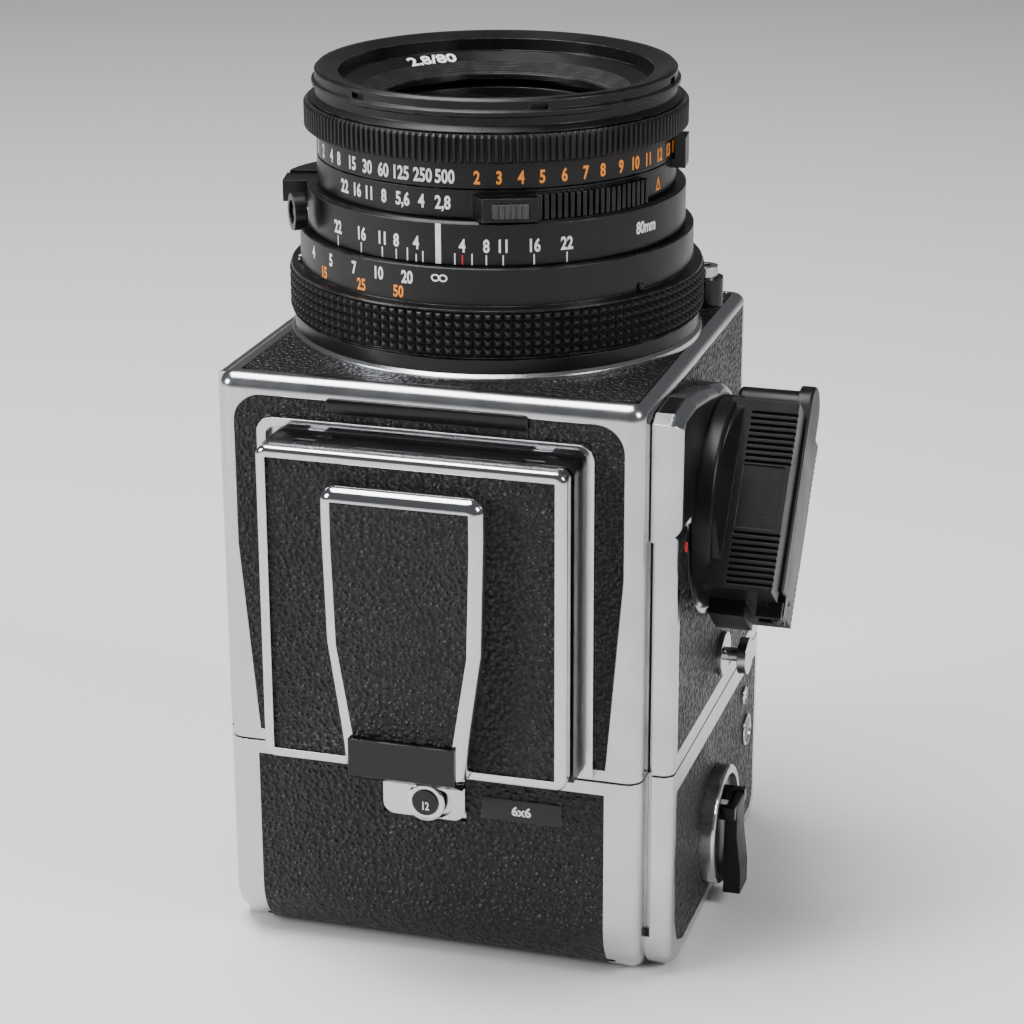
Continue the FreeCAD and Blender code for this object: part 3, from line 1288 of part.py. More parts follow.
def make_mag_core():
    """The magazine between its side covers."""
    piece = Piece("mag_core")
    bed_y, bed_z = "-(top_height - leather)", "leather"
    piece.pad("YZ", "-mag_leather_left", "mag_leather_right", [
        (bed_y, bed_z), ("mag_leather_far", bed_z), ("mag_leather_far", "0"), ("bottom_depth", "0"),
        ("bottom_depth", "mag_front"), ("-top_height", "mag_front"), ("-top_height", "mag_leather_front"),
        (bed_y, "mag_leather_front")])
    near_y = -size("top_height") + size("leather")
    piece.round("rear_round - leather", lambda bb: along(bb, "x") and near(bb.YMin, near_y)
                and near(bb.ZMin, size("leather")))
    for low, high in (("-shell_half", "-mag_leather_left"), ("mag_leather_right", "shell_half")):
        piece.pad("YZ", low, high, box("-top_height", "bottom_depth", "0", "mag_front"))
    top, far, front = -size("top_height"), size("bottom_depth"), size("mag_front")
    piece.round("rear_round", lambda bb: along(bb, "x") and near(bb.YMin, top) and near(bb.ZMin, 0))
    piece.round("far_round", lambda bb: along(bb, "x") and near(bb.YMin, far) and near(bb.ZMin, 0))
    half = size("shell_half")
    piece.round("edge_round", lambda bb: near(abs(bb.XMin), half) and near(bb.XMin, bb.XMax)
                and not near(bb.ZMin, front))
    piece.cut("XY", "mag_wall", "mag_front - gate_plate",
              box("-mag_cavity_half", "mag_cavity_half", "-(top_height - mag_wall)", "bottom_depth - mag_wall"))
    piece.cut("XY", "mag_front - gate_plate - 1", "mag_front + 1",
              box("-gate_half", "gate_half", "-gate_half", "gate_half"))
    slide_slot(piece)
    # the chrome tongue with the track of the catch button
    tongue = "top_height + tongue_height"
    piece.pad("XZ", f"-({tongue})", "-(top_height - leather - 0.5)",
              box("-tongue_left", "tongue_right", "tongue_rear", "mag_leather_front + 0.5"))
    crest = -(size("top_height") + size("tongue_height"))
    piece.round("2.4", lambda bb: along(bb, "y") and near(bb.ZMin, size("tongue_rear"))
                and near(bb.YMin, crest))
    track(piece, f"-({tongue} + 1)", f"-({tongue} - catch_proud)", "catch_r + 0.4")
    track(piece, f"-({tongue} + 1)", "-(top_height - mag_wall - 1)", "catch_stem_r + 0.1")
    piece.cut("YZ", "mag_cavity_half - 1", "shell_half + 1", (KEY_AXIS, "key_shaft_r + running_gap"))
    return piece


KEY_AXIS = ("-takeup_y", "spool_z")


def slide_slot(piece):
    """The slot through the left wall for the dark slide."""
    piece.cut("YZ", "-(left_outer + 1)", "-(mag_cavity_half - 1)",
              box("-(slide_half + 0.3)", "slide_half + 0.3", "slide_z - 0.25", "slide_z + slide_thick + 0.25"))


def make_mag_cover(label, low, high, outer, edge):
    """A side cover of the magazine, rounded towards the rear face."""
    piece = Piece(label)
    piece.pad("YZ", low, high, box("-cover_near", "bottom_depth", "0", "mag_front"))
    near_y, far, front = -size("cover_near"), size("bottom_depth"), size("mag_front")
    piece.round("side_rear_round", lambda bb: along(bb, "x") and near(bb.YMin, near_y) and near(bb.ZMin, 0))
    piece.round("far_round", lambda bb: along(bb, "x") and near(bb.YMin, far) and near(bb.ZMin, 0))
    piece.round(edge, lambda bb: near(bb.XMin, outer) and near(bb.XMax, outer) and not near(bb.ZMin, front))
    return piece


def make_mag_shell():
    core = make_mag_core()
    left = make_mag_cover("mag_cover_left", "-left_outer", "-shell_half", -size("left_outer"), "1.2")
    left.cut("YZ", "-(left_outer + 1)", "-(left_outer - leather)", mag_side_outline("0"))
    slide_slot(left)
    right = make_mag_cover("mag_cover_right", "shell_half", "right_outer", size("right_outer"), "cover_round")
    right.cut("YZ", "right_outer - leather", "right_outer + 1", mag_side_outline("0"))
    right.cut("YZ", "shell_half - 1", "shell_half + groove_width",
              box("-(cover_near + 1)", "-(cover_near - groove_depth)", "side_rear_round", "mag_front + 1"))
    # the collar and the seat of the film crank
    right.pad("YZ", "right_outer - 1.6", "key_ring_outer", (KEY_AXIS, "key_ring_r"))
    collar = size("key_ring_outer")
    right.round("0.6", lambda bb: near(bb.XMin, collar))
    right.cut("YZ", "right_outer - 1.2", "key_ring_outer + 1", (KEY_AXIS, "key_ring_r - key_ring_wall"))
    right.cut("YZ", "shell_half - 1", "right_outer", (KEY_AXIS, "key_shaft_r + running_gap"))
    shell = doc.addObject("Part::MultiFuse", "mag_shell")
    shell.Label = "mag_shell"
    shell.Shapes = [core.body, left.body, right.body]
    return shell


def track(piece, low, high, radius):
    """A slot along which the catch button travels towards the crank side."""
    for x in ("-catch_x", "-catch_x + catch_travel"):
        piece.cut("XZ", low, high, ((x, "catch_z"), radius))
    piece.cut("XZ", low, high, box("-catch_x", "-catch_x + catch_travel", f"catch_z - ({radius})",
                                   f"catch_z + ({radius})"))


def mag_side_outline(gap):
    """A side panel of the magazine with its rear corners cut away."""
    low, high = f"mag_side_rear + ({gap})", f"mag_side_front - ({gap})"
    near_y, far = f"-(cover_near - leather_margin) + ({gap})", f"bottom_depth - leather_margin - ({gap})"
    cut = "mag_side_cut"
    return [(near_y, high), (near_y, f"{low} + {cut}"), (f"{near_y} + {cut} * 0.3", f"{low} + {cut} * 0.3"),
            (f"{near_y} + {cut}", low), (f"{far} - 2", low), (far, f"{low} + 2"), (far, high)]


def make_mag_leather():
    """The leather down the near face, round the corner and over the rear face."""
    piece = Piece("mag_leather")
    low, high = "-mag_leather_left + seam / 2", "mag_leather_right - seam / 2"
    centre_y, centre_z = "-(top_height - rear_round)", "rear_round"
    centre = (centre_y, centre_z)
    piece.pad("YZ", low, high, (centre, "rear_round"), (centre, "rear_round - leather"))
    piece.cut("YZ", low + " - 1", high + " + 1", [
        (f"{centre_y} - rear_round * 2", centre_z), (centre_y, centre_z),
        (centre_y, f"{centre_z} - rear_round * 2"),
        (f"{centre_y} + rear_round * 2", f"{centre_z} - rear_round * 2"),
        (f"{centre_y} + rear_round * 2", f"{centre_z} + rear_round * 2"),
        (f"{centre_y} - rear_round * 2", f"{centre_z} + rear_round * 2")])
    piece.pad("YZ", low, high, box("-top_height", "-(top_height - leather)",
                                   centre_z, "mag_leather_front - seam / 2"))
    piece.pad("YZ", low, high, box(centre_y, "mag_leather_far - seam / 2", "0", "leather"))
    piece.cut("XZ", "-(top_height + 1)", "-(top_height - leather - 1)",
              box("-tongue_left - seam / 2", "tongue_right + seam / 2", "tongue_rear - seam / 2", "mag_front"))
    return piece


def make_mag_side_leather():
    right, left = Piece("mag_panel_right"), Piece("mag_panel_left")
    right.pad("YZ", "right_outer - leather", "right_outer", mag_side_outline("seam / 2"))
    right.cut("YZ", "right_outer - leather - 1", "right_outer + 1",
              (("-takeup_y", "spool_z"), "key_ring_r + seam / 2"))
    left.pad("YZ", "-left_outer", "-(left_outer - leather)", mag_side_outline("seam / 2"))
    return joined("mag_side_leather", [right, left])


def make_mag_catch():
    """The catch button: head outside, stem in the track and latch plate inside."""
    piece = Piece("mag_catch")
    wall = "top_height - mag_wall"
    place = ("-catch_x", "catch_z")
    piece.pad("XZ", f"-({wall} - 0.2)", f"-({wall} - 1.4)", box("-9", "6", "catch_z - 3", "catch_z + 3"))
    piece.pad("XZ", "-(top_height + tongue_height - catch_proud + 0.1)", f"-({wall} - 0.4)",
              (place, "catch_stem_r"))
    piece.pad("XZ", "-(top_height + tongue_height + 0.4)", "-(top_height + tongue_height - catch_proud + 0.1)",
              (place, "catch_r"))
    return piece


def make_dark_slide():
    piece = Piece("dark_slide")
    top = "slide_z + slide_thick"
    piece.pad("XY", "slide_z", top, box("-(left_outer + 0.6)", "slide_end", "-slide_half", "slide_half"))
    reach = "left_outer + slide_handle_reach"
    piece.pad("XY", "slide_z", top, [
        ("-(left_outer)", "-slide_handle_half"), ("-(left_outer)", "slide_handle_half"),
        (f"-({reach} - 2)", "slide_handle_half"), (f"-({reach})", "slide_handle_half - 2"),
        (f"-({reach})", "-slide_handle_half + 2"), (f"-({reach} - 2)", "-slide_handle_half")])
    piece.cut("XY", "slide_z - 1", top + " + 1",
              box(f"-({reach} - 1.4)", "-(left_outer + 1.6)",
                  "-slide_handle_half + 2", "slide_handle_half - 2"))
    return piece


def make_film_insert():
    """Two end plates joined by the pressure plate and a bar; the spools turn between them."""
    piece = Piece("film_insert")
    inner = "insert_half - insert_plate"
    piece.pad("XY", "pressure_z", "pressure_z + pressure_thick",
              box("-insert_half", "insert_half", "-insert_pressure", "insert_pressure"))
    for low, high in both_sides(inner, "insert_half"):
        piece.pad("YZ", low, high, box("-insert_near", "insert_far", "insert_rear", "insert_front"))
    piece.pad("XY", "insert_rear", "insert_rear + insert_plate",
              box("-insert_half", "insert_half", "-insert_near", "-insert_near + 12"))
    for y in ("-takeup_y", "supply_y"):
        piece.cut("YZ", "-(insert_half + 1)", "insert_half + 1", ((y, "spool_z"), "spool_pin_r + running_gap"))
    return piece


def make_spool(label, y, film_r=None):
    piece = Piece(label)
    place = (y, "spool_z")
    piece.pad("YZ", "-spool_half", "spool_half", (place, "spool_core_r"))
    for low, high in both_sides("spool_half - spool_flange", "spool_half"):
        piece.pad("YZ", low, high, (place, "spool_flange_r"))
    piece.pad("YZ", "-insert_half", "insert_half", (place, "spool_pin_r"))
    if film_r:
        piece.pad("YZ", "-(spool_half - spool_flange)", "spool_half - spool_flange", (place, film_r))
    return piece


def make_film_crank():
    piece = Piece("film_crank")
    piece.pad("YZ", "right_outer - 1", "key_disc_outer", (KEY_AXIS, "key_disc_r"))
    piece.pad("YZ", "insert_half + 0.4", "right_outer - 0.6", (KEY_AXIS, "key_shaft_r"))
    for sign in ("-", ""):
        a, b = f"-takeup_y {sign or '+'} (key_half + 0.3)", f"-takeup_y {sign or '+'} (key_half + 2.1)"
        low, high = (b, a) if sign else (a, b)
        piece.pad("YZ", "key_disc_outer - 0.4", "key_pivot_x + 1.2",
                  box(low, high, "spool_z + key_up - 3", "spool_z + key_up - 0.4"))
    piece.pad("XZ", "-takeup_y - key_half - 1", "-takeup_y + key_half + 1",
              (("key_pivot_x", "spool_z + key_up - 1.7"), "key_pin_r"))
    return piece


def make_film_key():
    """The folding handle of the film crank."""
    piece = Piece("film_crank_handle")
    pivot = ("key_pivot_x", "spool_z + key_up - 1.7")
    low, high = "-takeup_y - key_half", "-takeup_y + key_half"
    side = "key_thick / 2"
    piece.pad("XZ", low, high, (pivot, side))
    piece.pad("XZ", low, high, [
        (f"key_pivot_x - {side}", "spool_z + key_up - 1.7"), (f"key_pivot_x - {side}", "spool_z - key_down"),
        ("key_pivot_x + key_stand", "spool_z - key_down"),
        ("key_pivot_x + key_stand", "spool_z - key_down + 5"),
        (f"key_pivot_x + {side}", "spool_z - 1"), (f"key_pivot_x + {side}", "spool_z + key_up - 1.7")])
    piece.cut("XZ", f"{low} - 1", f"{high} + 1", (pivot, "key_pin_r + running_gap"))
    return piece


def make_everything():
    """Builds every sub-part and gives them back as document objects."""
    made = [
        make_main_shell(), make_front_leather(), make_mount_ring(), make_left_cover(), make_left_leather(),
        make_right_cover(), make_right_leather(), make_top_leather(), make_finder_rail(), make_mirror_box(),
        *make_mirror(), make_flap("upper_flap", -1), make_flap("lower_flap", 1), make_focusing_screen(),
        make_release_collar(), make_release_button(), make_lens_catch(), make_crank_hub(), make_crank_arm(),
        make_crank_grip(), make_gear("winding_gear", "winding_teeth", "crank_z", "crank_shaft_r"),
        make_gear("film_gear", "film_teeth", FILM_GEAR_Z, "film_axle_r", axle=True),
        make_tripod_foot(), make_accessory_rail(), make_strap_lugs(),
        make_finder_base(), make_lid_frame(), make_lid_leathers(), make_magnifier_cover(), make_lid_tab(),
        make_hood_side("hood_left", -1), make_hood_side("hood_right", 1), make_hood_rear(),
        make_magnifier_ring(), make_magnifier_lens(),
        make_lens_mount(), make_focus_ring(), make_lens_core(), make_depth_ring(), make_aperture_ring(),
        make_interlock_button(), make_speed_ring(), make_front_rim(), make_iris_blades(),
        make_glass("front_glass", "front_glass_r", "front_glass_crown", "front_glass_z",
                   "front_glass_z - glass_seat", True),
        make_glass("rear_glass", "rear_glass_r", "rear_glass_crown", "rear_glass_z",
                   "rear_glass_z + glass_seat", False),
        make_preview_tab(), make_sync_socket(),
        make_mag_shell(), make_mag_leather(), make_mag_side_leather(), make_mag_catch(), make_dark_slide(),
        make_film_insert(), make_spool("supply_spool", "supply_y", "supply_film_r"),
        make_spool("takeup_spool", "-takeup_y"), make_film_crank(), make_film_key(),
    ]
    return [item.body if isinstance(item, Piece) else item for item in made]


pieces = make_everything()
doc.recompute()
for item in doc.Objects:
    if "Invalid" in item.State or "Error" in item.State:
        raise ValueError(f"{item.Label} does not compute: {item.State}")
os.makedirs("parts", exist_ok=True)
for item in pieces:
    if item.Shape.isNull() or not item.Shape.isValid() or not item.Shape.Solids:
        raise ValueError(f"{item.Label} has no valid shape")
    item.Shape.exportStep(f"parts/{item.Label}.step")
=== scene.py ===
import math

import bmesh
import bpy
from mathutils import Matrix, Vector


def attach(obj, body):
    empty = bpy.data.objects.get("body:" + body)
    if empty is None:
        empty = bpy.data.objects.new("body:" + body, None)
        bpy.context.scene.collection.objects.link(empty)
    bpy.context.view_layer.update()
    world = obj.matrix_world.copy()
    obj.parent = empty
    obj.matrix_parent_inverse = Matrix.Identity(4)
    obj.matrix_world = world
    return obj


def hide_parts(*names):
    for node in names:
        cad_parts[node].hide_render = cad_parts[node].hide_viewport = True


# Medium format film camera standing on its magazine, lens up. Blender units are metres.
# Sizes are written in millimetres and multiplied by MM where a mesh is made.

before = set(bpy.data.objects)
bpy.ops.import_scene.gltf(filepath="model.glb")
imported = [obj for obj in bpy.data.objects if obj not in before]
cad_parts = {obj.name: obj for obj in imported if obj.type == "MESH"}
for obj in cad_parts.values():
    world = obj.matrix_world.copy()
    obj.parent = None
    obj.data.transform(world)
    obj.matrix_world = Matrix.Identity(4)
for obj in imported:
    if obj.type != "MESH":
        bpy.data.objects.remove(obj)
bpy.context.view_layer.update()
MM = 0.001


# Wiring helpers


class Wires:
    """Adds shader nodes to one tree and joins them."""

    def __init__(self, tree):
        self.tree = tree

    def add(self, kind, inputs=None, **settings):
        node = self.tree.nodes.new(kind)
        for name, value in settings.items():
            setattr(node, name, value)
        for name, value in (inputs or {}).items():
            self.feed(node.inputs[name], value)
        return node

    def feed(self, socket, value):
        """Links the socket if the value is a socket, and sets it otherwise."""
        if isinstance(value, bpy.types.NodeSocket):
            self.tree.links.new(value, socket)
        else:
            socket.default_value = value

    def math(self, operation, first, second=0.0, clamp=False):
        node = self.add("ShaderNodeMath", {0: first, 1: second}, operation=operation, use_clamp=clamp)
        return node.outputs[0]

    def spread(self, value, low, high, to_low=0.0, to_high=1.0):
        """Maps low to high onto another span, and holds the ends."""
        node = self.add("ShaderNodeMapRange", {
            "Value": value, "From Min": low, "From Max": high, "To Min": to_low, "To Max": to_high})
        return node.outputs["Result"]

    def blend(self, share, first, second):
        """Mixes two colours; the node's colour sockets are 6 and 7."""
        node = self.add("ShaderNodeMix", data_type="RGBA")
        self.feed(node.inputs["Factor"], share)
        self.feed(node.inputs[6], first)
        self.feed(node.inputs[7], second)
        return node.outputs[2]


def effect(name, inputs, outputs):
    """A new shader node group with named number sockets: its wires, its inputs and its outputs."""
    tree = bpy.data.node_groups.new(name, "ShaderNodeTree")
    for socket, value in inputs.items():
        made = tree.interface.new_socket(socket, in_out="INPUT", socket_type="NodeSocketFloat")
        made.default_value = value
    for socket in outputs:
        tree.interface.new_socket(socket, in_out="OUTPUT", socket_type="NodeSocketFloat")
    wires = Wires(tree)
    source = wires.add("NodeGroupInput")
    sink = wires.add("NodeGroupOutput")
    return wires, source.outputs, sink.inputs


BEVEL_SAMPLES = 4
PEBBLE_DRIFT = 0.0009  # how far the cells of the leather wander, in metres


def make_worn_edges():
    """Mask of the rubbed outer edges: where a rounded normal leaves the flat one, broken up by noise."""
    starts, full = 0.995, 0.86  # cosines between the two normals
    whole, worn_through = 0.42, 0.62  # values of the noise
    w, given, out = effect("worn edges", {"Width": 0.0004, "Amount": 0.5, "Patches": 300.0}, ["Mask"])
    rounded = w.add("ShaderNodeBevel", {"Radius": given["Width"]}, samples=BEVEL_SAMPLES)
    plain = w.add("ShaderNodeNewGeometry")
    alike = w.add("ShaderNodeVectorMath", {0: rounded.outputs[0], 1: plain.outputs["Normal"]},
                  operation="DOT_PRODUCT")
    edge = w.spread(alike.outputs["Value"], starts, full)
    place = w.add("ShaderNodeTexCoord")
    patch = w.add("ShaderNodeTexNoise", {
        "Vector": place.outputs["Object"], "Scale": given["Patches"], "Detail": 4.0})
    rubbed = w.spread(patch.outputs["Fac"], whole, worn_through)
    w.feed(out["Mask"], w.math("MULTIPLY", w.math("MULTIPLY", edge, rubbed), given["Amount"], clamp=True))
    return w.tree


def make_handling():
    """Smudges of handling and fine dust, as two masks."""
    faint, strong = 0.35, 0.7  # values of the smudge noise
    speck_rim, speck_core = 0.13, 0.05  # distances from the middle of a speck, in cells
    patch_scale, clean, dusty = 420.0, 0.56, 0.66  # the noise that thins the dust out
    w, given, out = effect("handling marks", {"Smudge size": 60.0, "Dust size": 1500.0}, ["Smudge", "Dust"])
    place = w.add("ShaderNodeTexCoord")
    smudge = w.add("ShaderNodeTexNoise", {
        "Vector": place.outputs["Object"], "Scale": given["Smudge size"], "Detail": 5.0, "Distortion": 1.2})
    w.feed(out["Smudge"], w.spread(smudge.outputs["Fac"], faint, strong))
    specks = w.add("ShaderNodeTexVoronoi", {"Vector": place.outputs["Object"], "Scale": given["Dust size"]})
    dots = w.spread(specks.outputs["Distance"], speck_rim, speck_core)
    thin = w.add("ShaderNodeTexNoise", {
        "Vector": place.outputs["Object"], "Scale": patch_scale, "Detail": 2.0})
    w.feed(out["Dust"], w.math("MULTIPLY", dots, w.spread(thin.outputs["Fac"], clean, dusty)))
    return w.tree


def make_pebble():
    """Pebbled leather grain: rounded cells with creases between them, as a height and a crease mask."""
    drift_share, swell_share = 0.7, 0.25  # scales of the two noises, as shares of the grain's own
    foot, top = 0.75, 0.05  # distances from the middle of a cell, in cells, where its dome ends and starts
    crease_starts, crease_full = 0.35, 0.7
    w, given, out = effect("pebble grain", {"Scale": 1250.0, "Unevenness": 0.12}, ["Height", "Crease"])
    place = w.add("ShaderNodeTexCoord")
    drift = w.add("ShaderNodeTexNoise", {
        "Vector": place.outputs["Object"], "Detail": 2.0,
        "Scale": w.math("MULTIPLY", given["Scale"], drift_share)})
    moved = w.add("ShaderNodeVectorMath", {0: drift.outputs["Color"], 1: (0.5, 0.5, 0.5)},
                  operation="SUBTRACT")
    push = w.add("ShaderNodeVectorMath", {0: moved.outputs[0], "Scale": PEBBLE_DRIFT}, operation="SCALE")
    where = w.add("ShaderNodeVectorMath", {0: place.outputs["Object"], 1: push.outputs[0]}, operation="ADD")
    cells = w.add("ShaderNodeTexVoronoi", {
        "Vector": where.outputs[0], "Scale": given["Scale"], "Smoothness": 0.35}, feature="SMOOTH_F1")
    dome = w.spread(cells.outputs["Distance"], foot, top)
    swell = w.add("ShaderNodeTexNoise", {
        "Vector": place.outputs["Object"], "Detail": 3.0,
        "Scale": w.math("MULTIPLY", given["Scale"], swell_share)})
    uneven = w.math("MULTIPLY", swell.outputs["Fac"], given["Unevenness"])
    w.feed(out["Height"], w.math("ADD", dome, uneven))
    w.feed(out["Crease"], w.spread(cells.outputs["Distance"], crease_starts, crease_full))
    return w.tree


def make_fine_grain():
    """A close, even grain for blasted metal and moulded skins, as a height."""
    w, given, out = effect("fine grain", {"Scale": 6000.0}, ["Height"])
    place = w.add("ShaderNodeTexCoord")
    grain = w.add("ShaderNodeTexNoise", {
        "Vector": place.outputs["Object"], "Scale": given["Scale"], "Detail": 3.0, "Roughness": 0.6})
    w.feed(out["Height"], grain.outputs["Fac"])
    return w.tree


WORN = make_worn_edges()
HANDLED = make_handling()
PEBBLE = make_pebble()
GRAIN = make_fine_grain()


# Materials


def placed(wires, group, **values):
    """An effect group placed in a material with its own values."""
    node = wires.add("ShaderNodeGroup", node_tree=group)
    for name, value in values.items():
        wires.feed(node.inputs[name.replace("_", " ")], value)
    return node.outputs


def shade(colour, tone=1.0):
    """A colour made darker or lighter, with full alpha."""
    return tuple(c * tone for c in colour) + (1.0,)


def fresh(name):
    """A new material with its wires and its Principled shader."""
    material = bpy.data.materials.new(name)
    material.use_nodes = True
    wires = Wires(material.node_tree)
    shader = material.node_tree.nodes["Principled BSDF"]
    return material, wires, shader


DUST_TINT = (0.55, 0.54, 0.52, 1.0)
LEATHER_DUST_TINT = (0.3, 0.29, 0.28, 1.0)
LEATHER_BLACK = (0.0075, 0.0072, 0.0075)
SMUDGE_RELIEF = 0.000002  # height of a smudge, in metres
DUST_DULL = 0.6  # roughness that dust adds, as a share of its strength
CROWN_GLASS_IOR = 1.52


def metal_skin(name, colour, rubbed, metallic=1.0, roughness=0.15, smudge=0.1, wear=0.3, edge=0.0003,
               grain=0.0, grain_scale=6000.0, tone=0.85, edge_metal=None, dust=0.15, round_off=0.00025,
               shine=0.5):
    """Plated, painted or moulded skin with rubbed edges, smudges, dust and rounded corners."""
    material, w, shader = fresh(name)
    marks = placed(w, HANDLED, Smudge_size=55.0)
    worn = placed(w, WORN, Width=edge, Amount=wear)["Mask"]
    body = w.blend(marks["Smudge"], shade(colour), shade(colour, tone))
    body = w.blend(worn, body, shade(rubbed))
    body = w.blend(w.math("MULTIPLY", marks["Dust"], dust), body, DUST_TINT)
    w.feed(shader.inputs["Base Color"], body)
    rough = w.math("ADD", w.math("MULTIPLY", marks["Smudge"], smudge), roughness)
    rough = w.math("ADD", rough, w.math("MULTIPLY", marks["Dust"], dust * DUST_DULL), clamp=True)
    w.feed(shader.inputs["Roughness"], rough)
    if edge_metal is None:
        shader.inputs["Metallic"].default_value = metallic
    else:
        w.feed(shader.inputs["Metallic"], w.spread(worn, 0.0, 1.0, metallic, edge_metal))
    shader.inputs["Specular IOR Level"].default_value = shine
    rounded = w.add("ShaderNodeBevel", {"Radius": round_off}, samples=BEVEL_SAMPLES)
    if grain:
        height = placed(w, GRAIN, Scale=grain_scale)["Height"]
    else:
        height = marks["Smudge"]
    bump = w.add("ShaderNodeBump", {
        "Strength": 1.0, "Distance": grain or SMUDGE_RELIEF, "Height": height, "Normal": rounded.outputs[0]})
    w.feed(shader.inputs["Normal"], bump.outputs[0])
    return material


def leather_skin(name, scale, depth, roughness, crease_shade_tone=0.45, smudge_tone=1.25, crease=0.25, smudge=0.12,
                 dust=0.2, shine=0.3):
    """Black pebbled leather: raised cells a little shinier than the creases, and painted shade darkens the
    creases.
    """
    material, w, shader = fresh(name)
    cells = placed(w, PEBBLE, Scale=scale)
    marks = placed(w, HANDLED, Smudge_size=40.0)
    body = w.blend(marks["Smudge"], shade(LEATHER_BLACK), shade(LEATHER_BLACK, smudge_tone))
    # painted shade: the colour is darkened in the creases between the cells
    body = w.blend(cells["Crease"], body, shade(LEATHER_BLACK, crease_shade_tone))
    body = w.blend(w.math("MULTIPLY", marks["Dust"], dust), body, LEATHER_DUST_TINT)
    w.feed(shader.inputs["Base Color"], body)
    shader.inputs["Specular IOR Level"].default_value = shine
    rough = w.math("ADD", w.math("MULTIPLY", cells["Crease"], crease), roughness)
    rough = w.math("ADD", rough, w.math("MULTIPLY", marks["Smudge"], smudge), clamp=True)
    w.feed(shader.inputs["Roughness"], rough)
    bump = w.add("ShaderNodeBump", {"Strength": 1.0, "Distance": depth, "Height": cells["Height"]})
    w.feed(shader.inputs["Normal"], bump.outputs[0])
    return material


def clear_glass(name, colour, roughness=0.02, tone=0.9, dust=0.02):
    """Glass with a faint coating tint and the odd speck of dust."""
    material, w, shader = fresh(name)
    marks = placed(w, HANDLED, Smudge_size=90.0, Dust_size=900.0)
    w.feed(shader.inputs["Base Color"], w.blend(marks["Smudge"], shade(colour), shade(colour, tone)))
    rough = w.math("ADD", w.math("MULTIPLY", marks["Dust"], dust), roughness)
    w.feed(shader.inputs["Roughness"], rough)
    shader.inputs["Transmission Weight"].default_value = 1.0
    shader.inputs["IOR"].default_value = CROWN_GLASS_IOR
    return material


def dial_paint(name, colour, tone=0.8, smooth=0.45, rough=0.6):
    """Filled engraving paint, slightly uneven."""
    material, w, shader = fresh(name)
    marks = placed(w, HANDLED, Smudge_size=700.0, Dust_size=2600.0)
    w.feed(shader.inputs["Base Color"], w.blend(marks["Smudge"], shade(colour), shade(colour, tone)))
    w.feed(shader.inputs["Roughness"], w.spread(marks["Smudge"], 0.0, 1.0, smooth, rough))
    return material


BARE = (0.62, 0.62, 0.63)
finishes = {
    "polished chrome": metal_skin("polished chrome", (0.57, 0.58, 0.6), (0.72, 0.72, 0.74), roughness=0.07,
                                  smudge=0.07, tone=0.9),
    "satin chrome": metal_skin("satin chrome", (0.52, 0.53, 0.55), (0.68, 0.68, 0.7), roughness=0.16,
                               smudge=0.1, grain=0.000004, grain_scale=9000.0, tone=0.9),
    "pebbled leather": leather_skin("pebbled leather", scale=1050.0, depth=0.00052, roughness=0.28),
    "fine leather": leather_skin("fine leather", scale=1250.0, depth=0.0004, roughness=0.3),
    "button black": metal_skin("button black", (0.02, 0.02, 0.021), (0.3, 0.3, 0.3), metallic=0.0,
                               roughness=0.24, smudge=0.1, wear=0.6, edge=0.0002, tone=1.3, shine=0.6),
    "lens black": metal_skin("lens black", (0.0045, 0.0045, 0.005), BARE, metallic=0.0, roughness=0.26,
                             smudge=0.14, wear=0.22, edge=0.00018, grain=0.000003, edge_metal=1.0, tone=1.3,
                             dust=0.2, shine=0.3),
    "grip black": metal_skin("grip black", (0.005, 0.005, 0.0052), (0.05, 0.05, 0.05), metallic=0.0,
                             roughness=0.38, smudge=0.15, wear=0.35, edge=0.0002, tone=1.4, dust=0.3,
                             round_off=0.00008, shine=0.3),
    "matt black": metal_skin("matt black", (0.008, 0.008, 0.0085), BARE, metallic=0.0, roughness=0.75,
                             smudge=0.1, wear=0.12, edge=0.0002, grain=0.00001, edge_metal=0.8, tone=1.3,
                             dust=0.2),
    "black enamel": metal_skin("black enamel", (0.0045, 0.0045, 0.005), BARE, metallic=0.0, roughness=0.16,
                               smudge=0.1, wear=0.3, edge=0.0002, edge_metal=1.0, tone=1.3, shine=0.32),
    "crank black": metal_skin("crank black", (0.0055, 0.0055, 0.006), (0.08, 0.08, 0.08), metallic=0.0,
                              roughness=0.3, smudge=0.14, wear=0.3, edge=0.00025, grain=0.000002, tone=1.35,
                              dust=0.25, shine=0.22),
    "dull steel": metal_skin("dull steel", (0.5, 0.5, 0.51), (0.7, 0.7, 0.7), roughness=0.34, smudge=0.15,
                             grain=0.000004, grain_scale=4000.0),
    "plain brass": metal_skin("plain brass", (0.72, 0.55, 0.27), (0.85, 0.72, 0.42), roughness=0.3,
                              smudge=0.15),
    "backing paper": metal_skin("backing paper", (0.2, 0.17, 0.14), (0.3, 0.27, 0.24), metallic=0.0,
                                roughness=0.7, grain=0.00002, grain_scale=3000.0, wear=0.2),
    "coated glass": clear_glass("coated glass", (0.78, 0.84, 0.95)),
    "ground glass": clear_glass("ground glass", (0.9, 0.92, 0.9), roughness=0.45),
    "silvered glass": metal_skin("silvered glass", (0.92, 0.93, 0.93), (0.95, 0.95, 0.95), roughness=0.02,
                                 smudge=0.02, tone=0.98, wear=0.1),
    "white paint": dial_paint("white paint", (0.8, 0.8, 0.78)),
    "orange paint": dial_paint("orange paint", (0.95, 0.28, 0.01)),
    "red paint": dial_paint("red paint", (0.6, 0.02, 0.02)),
}


# Frame nodes


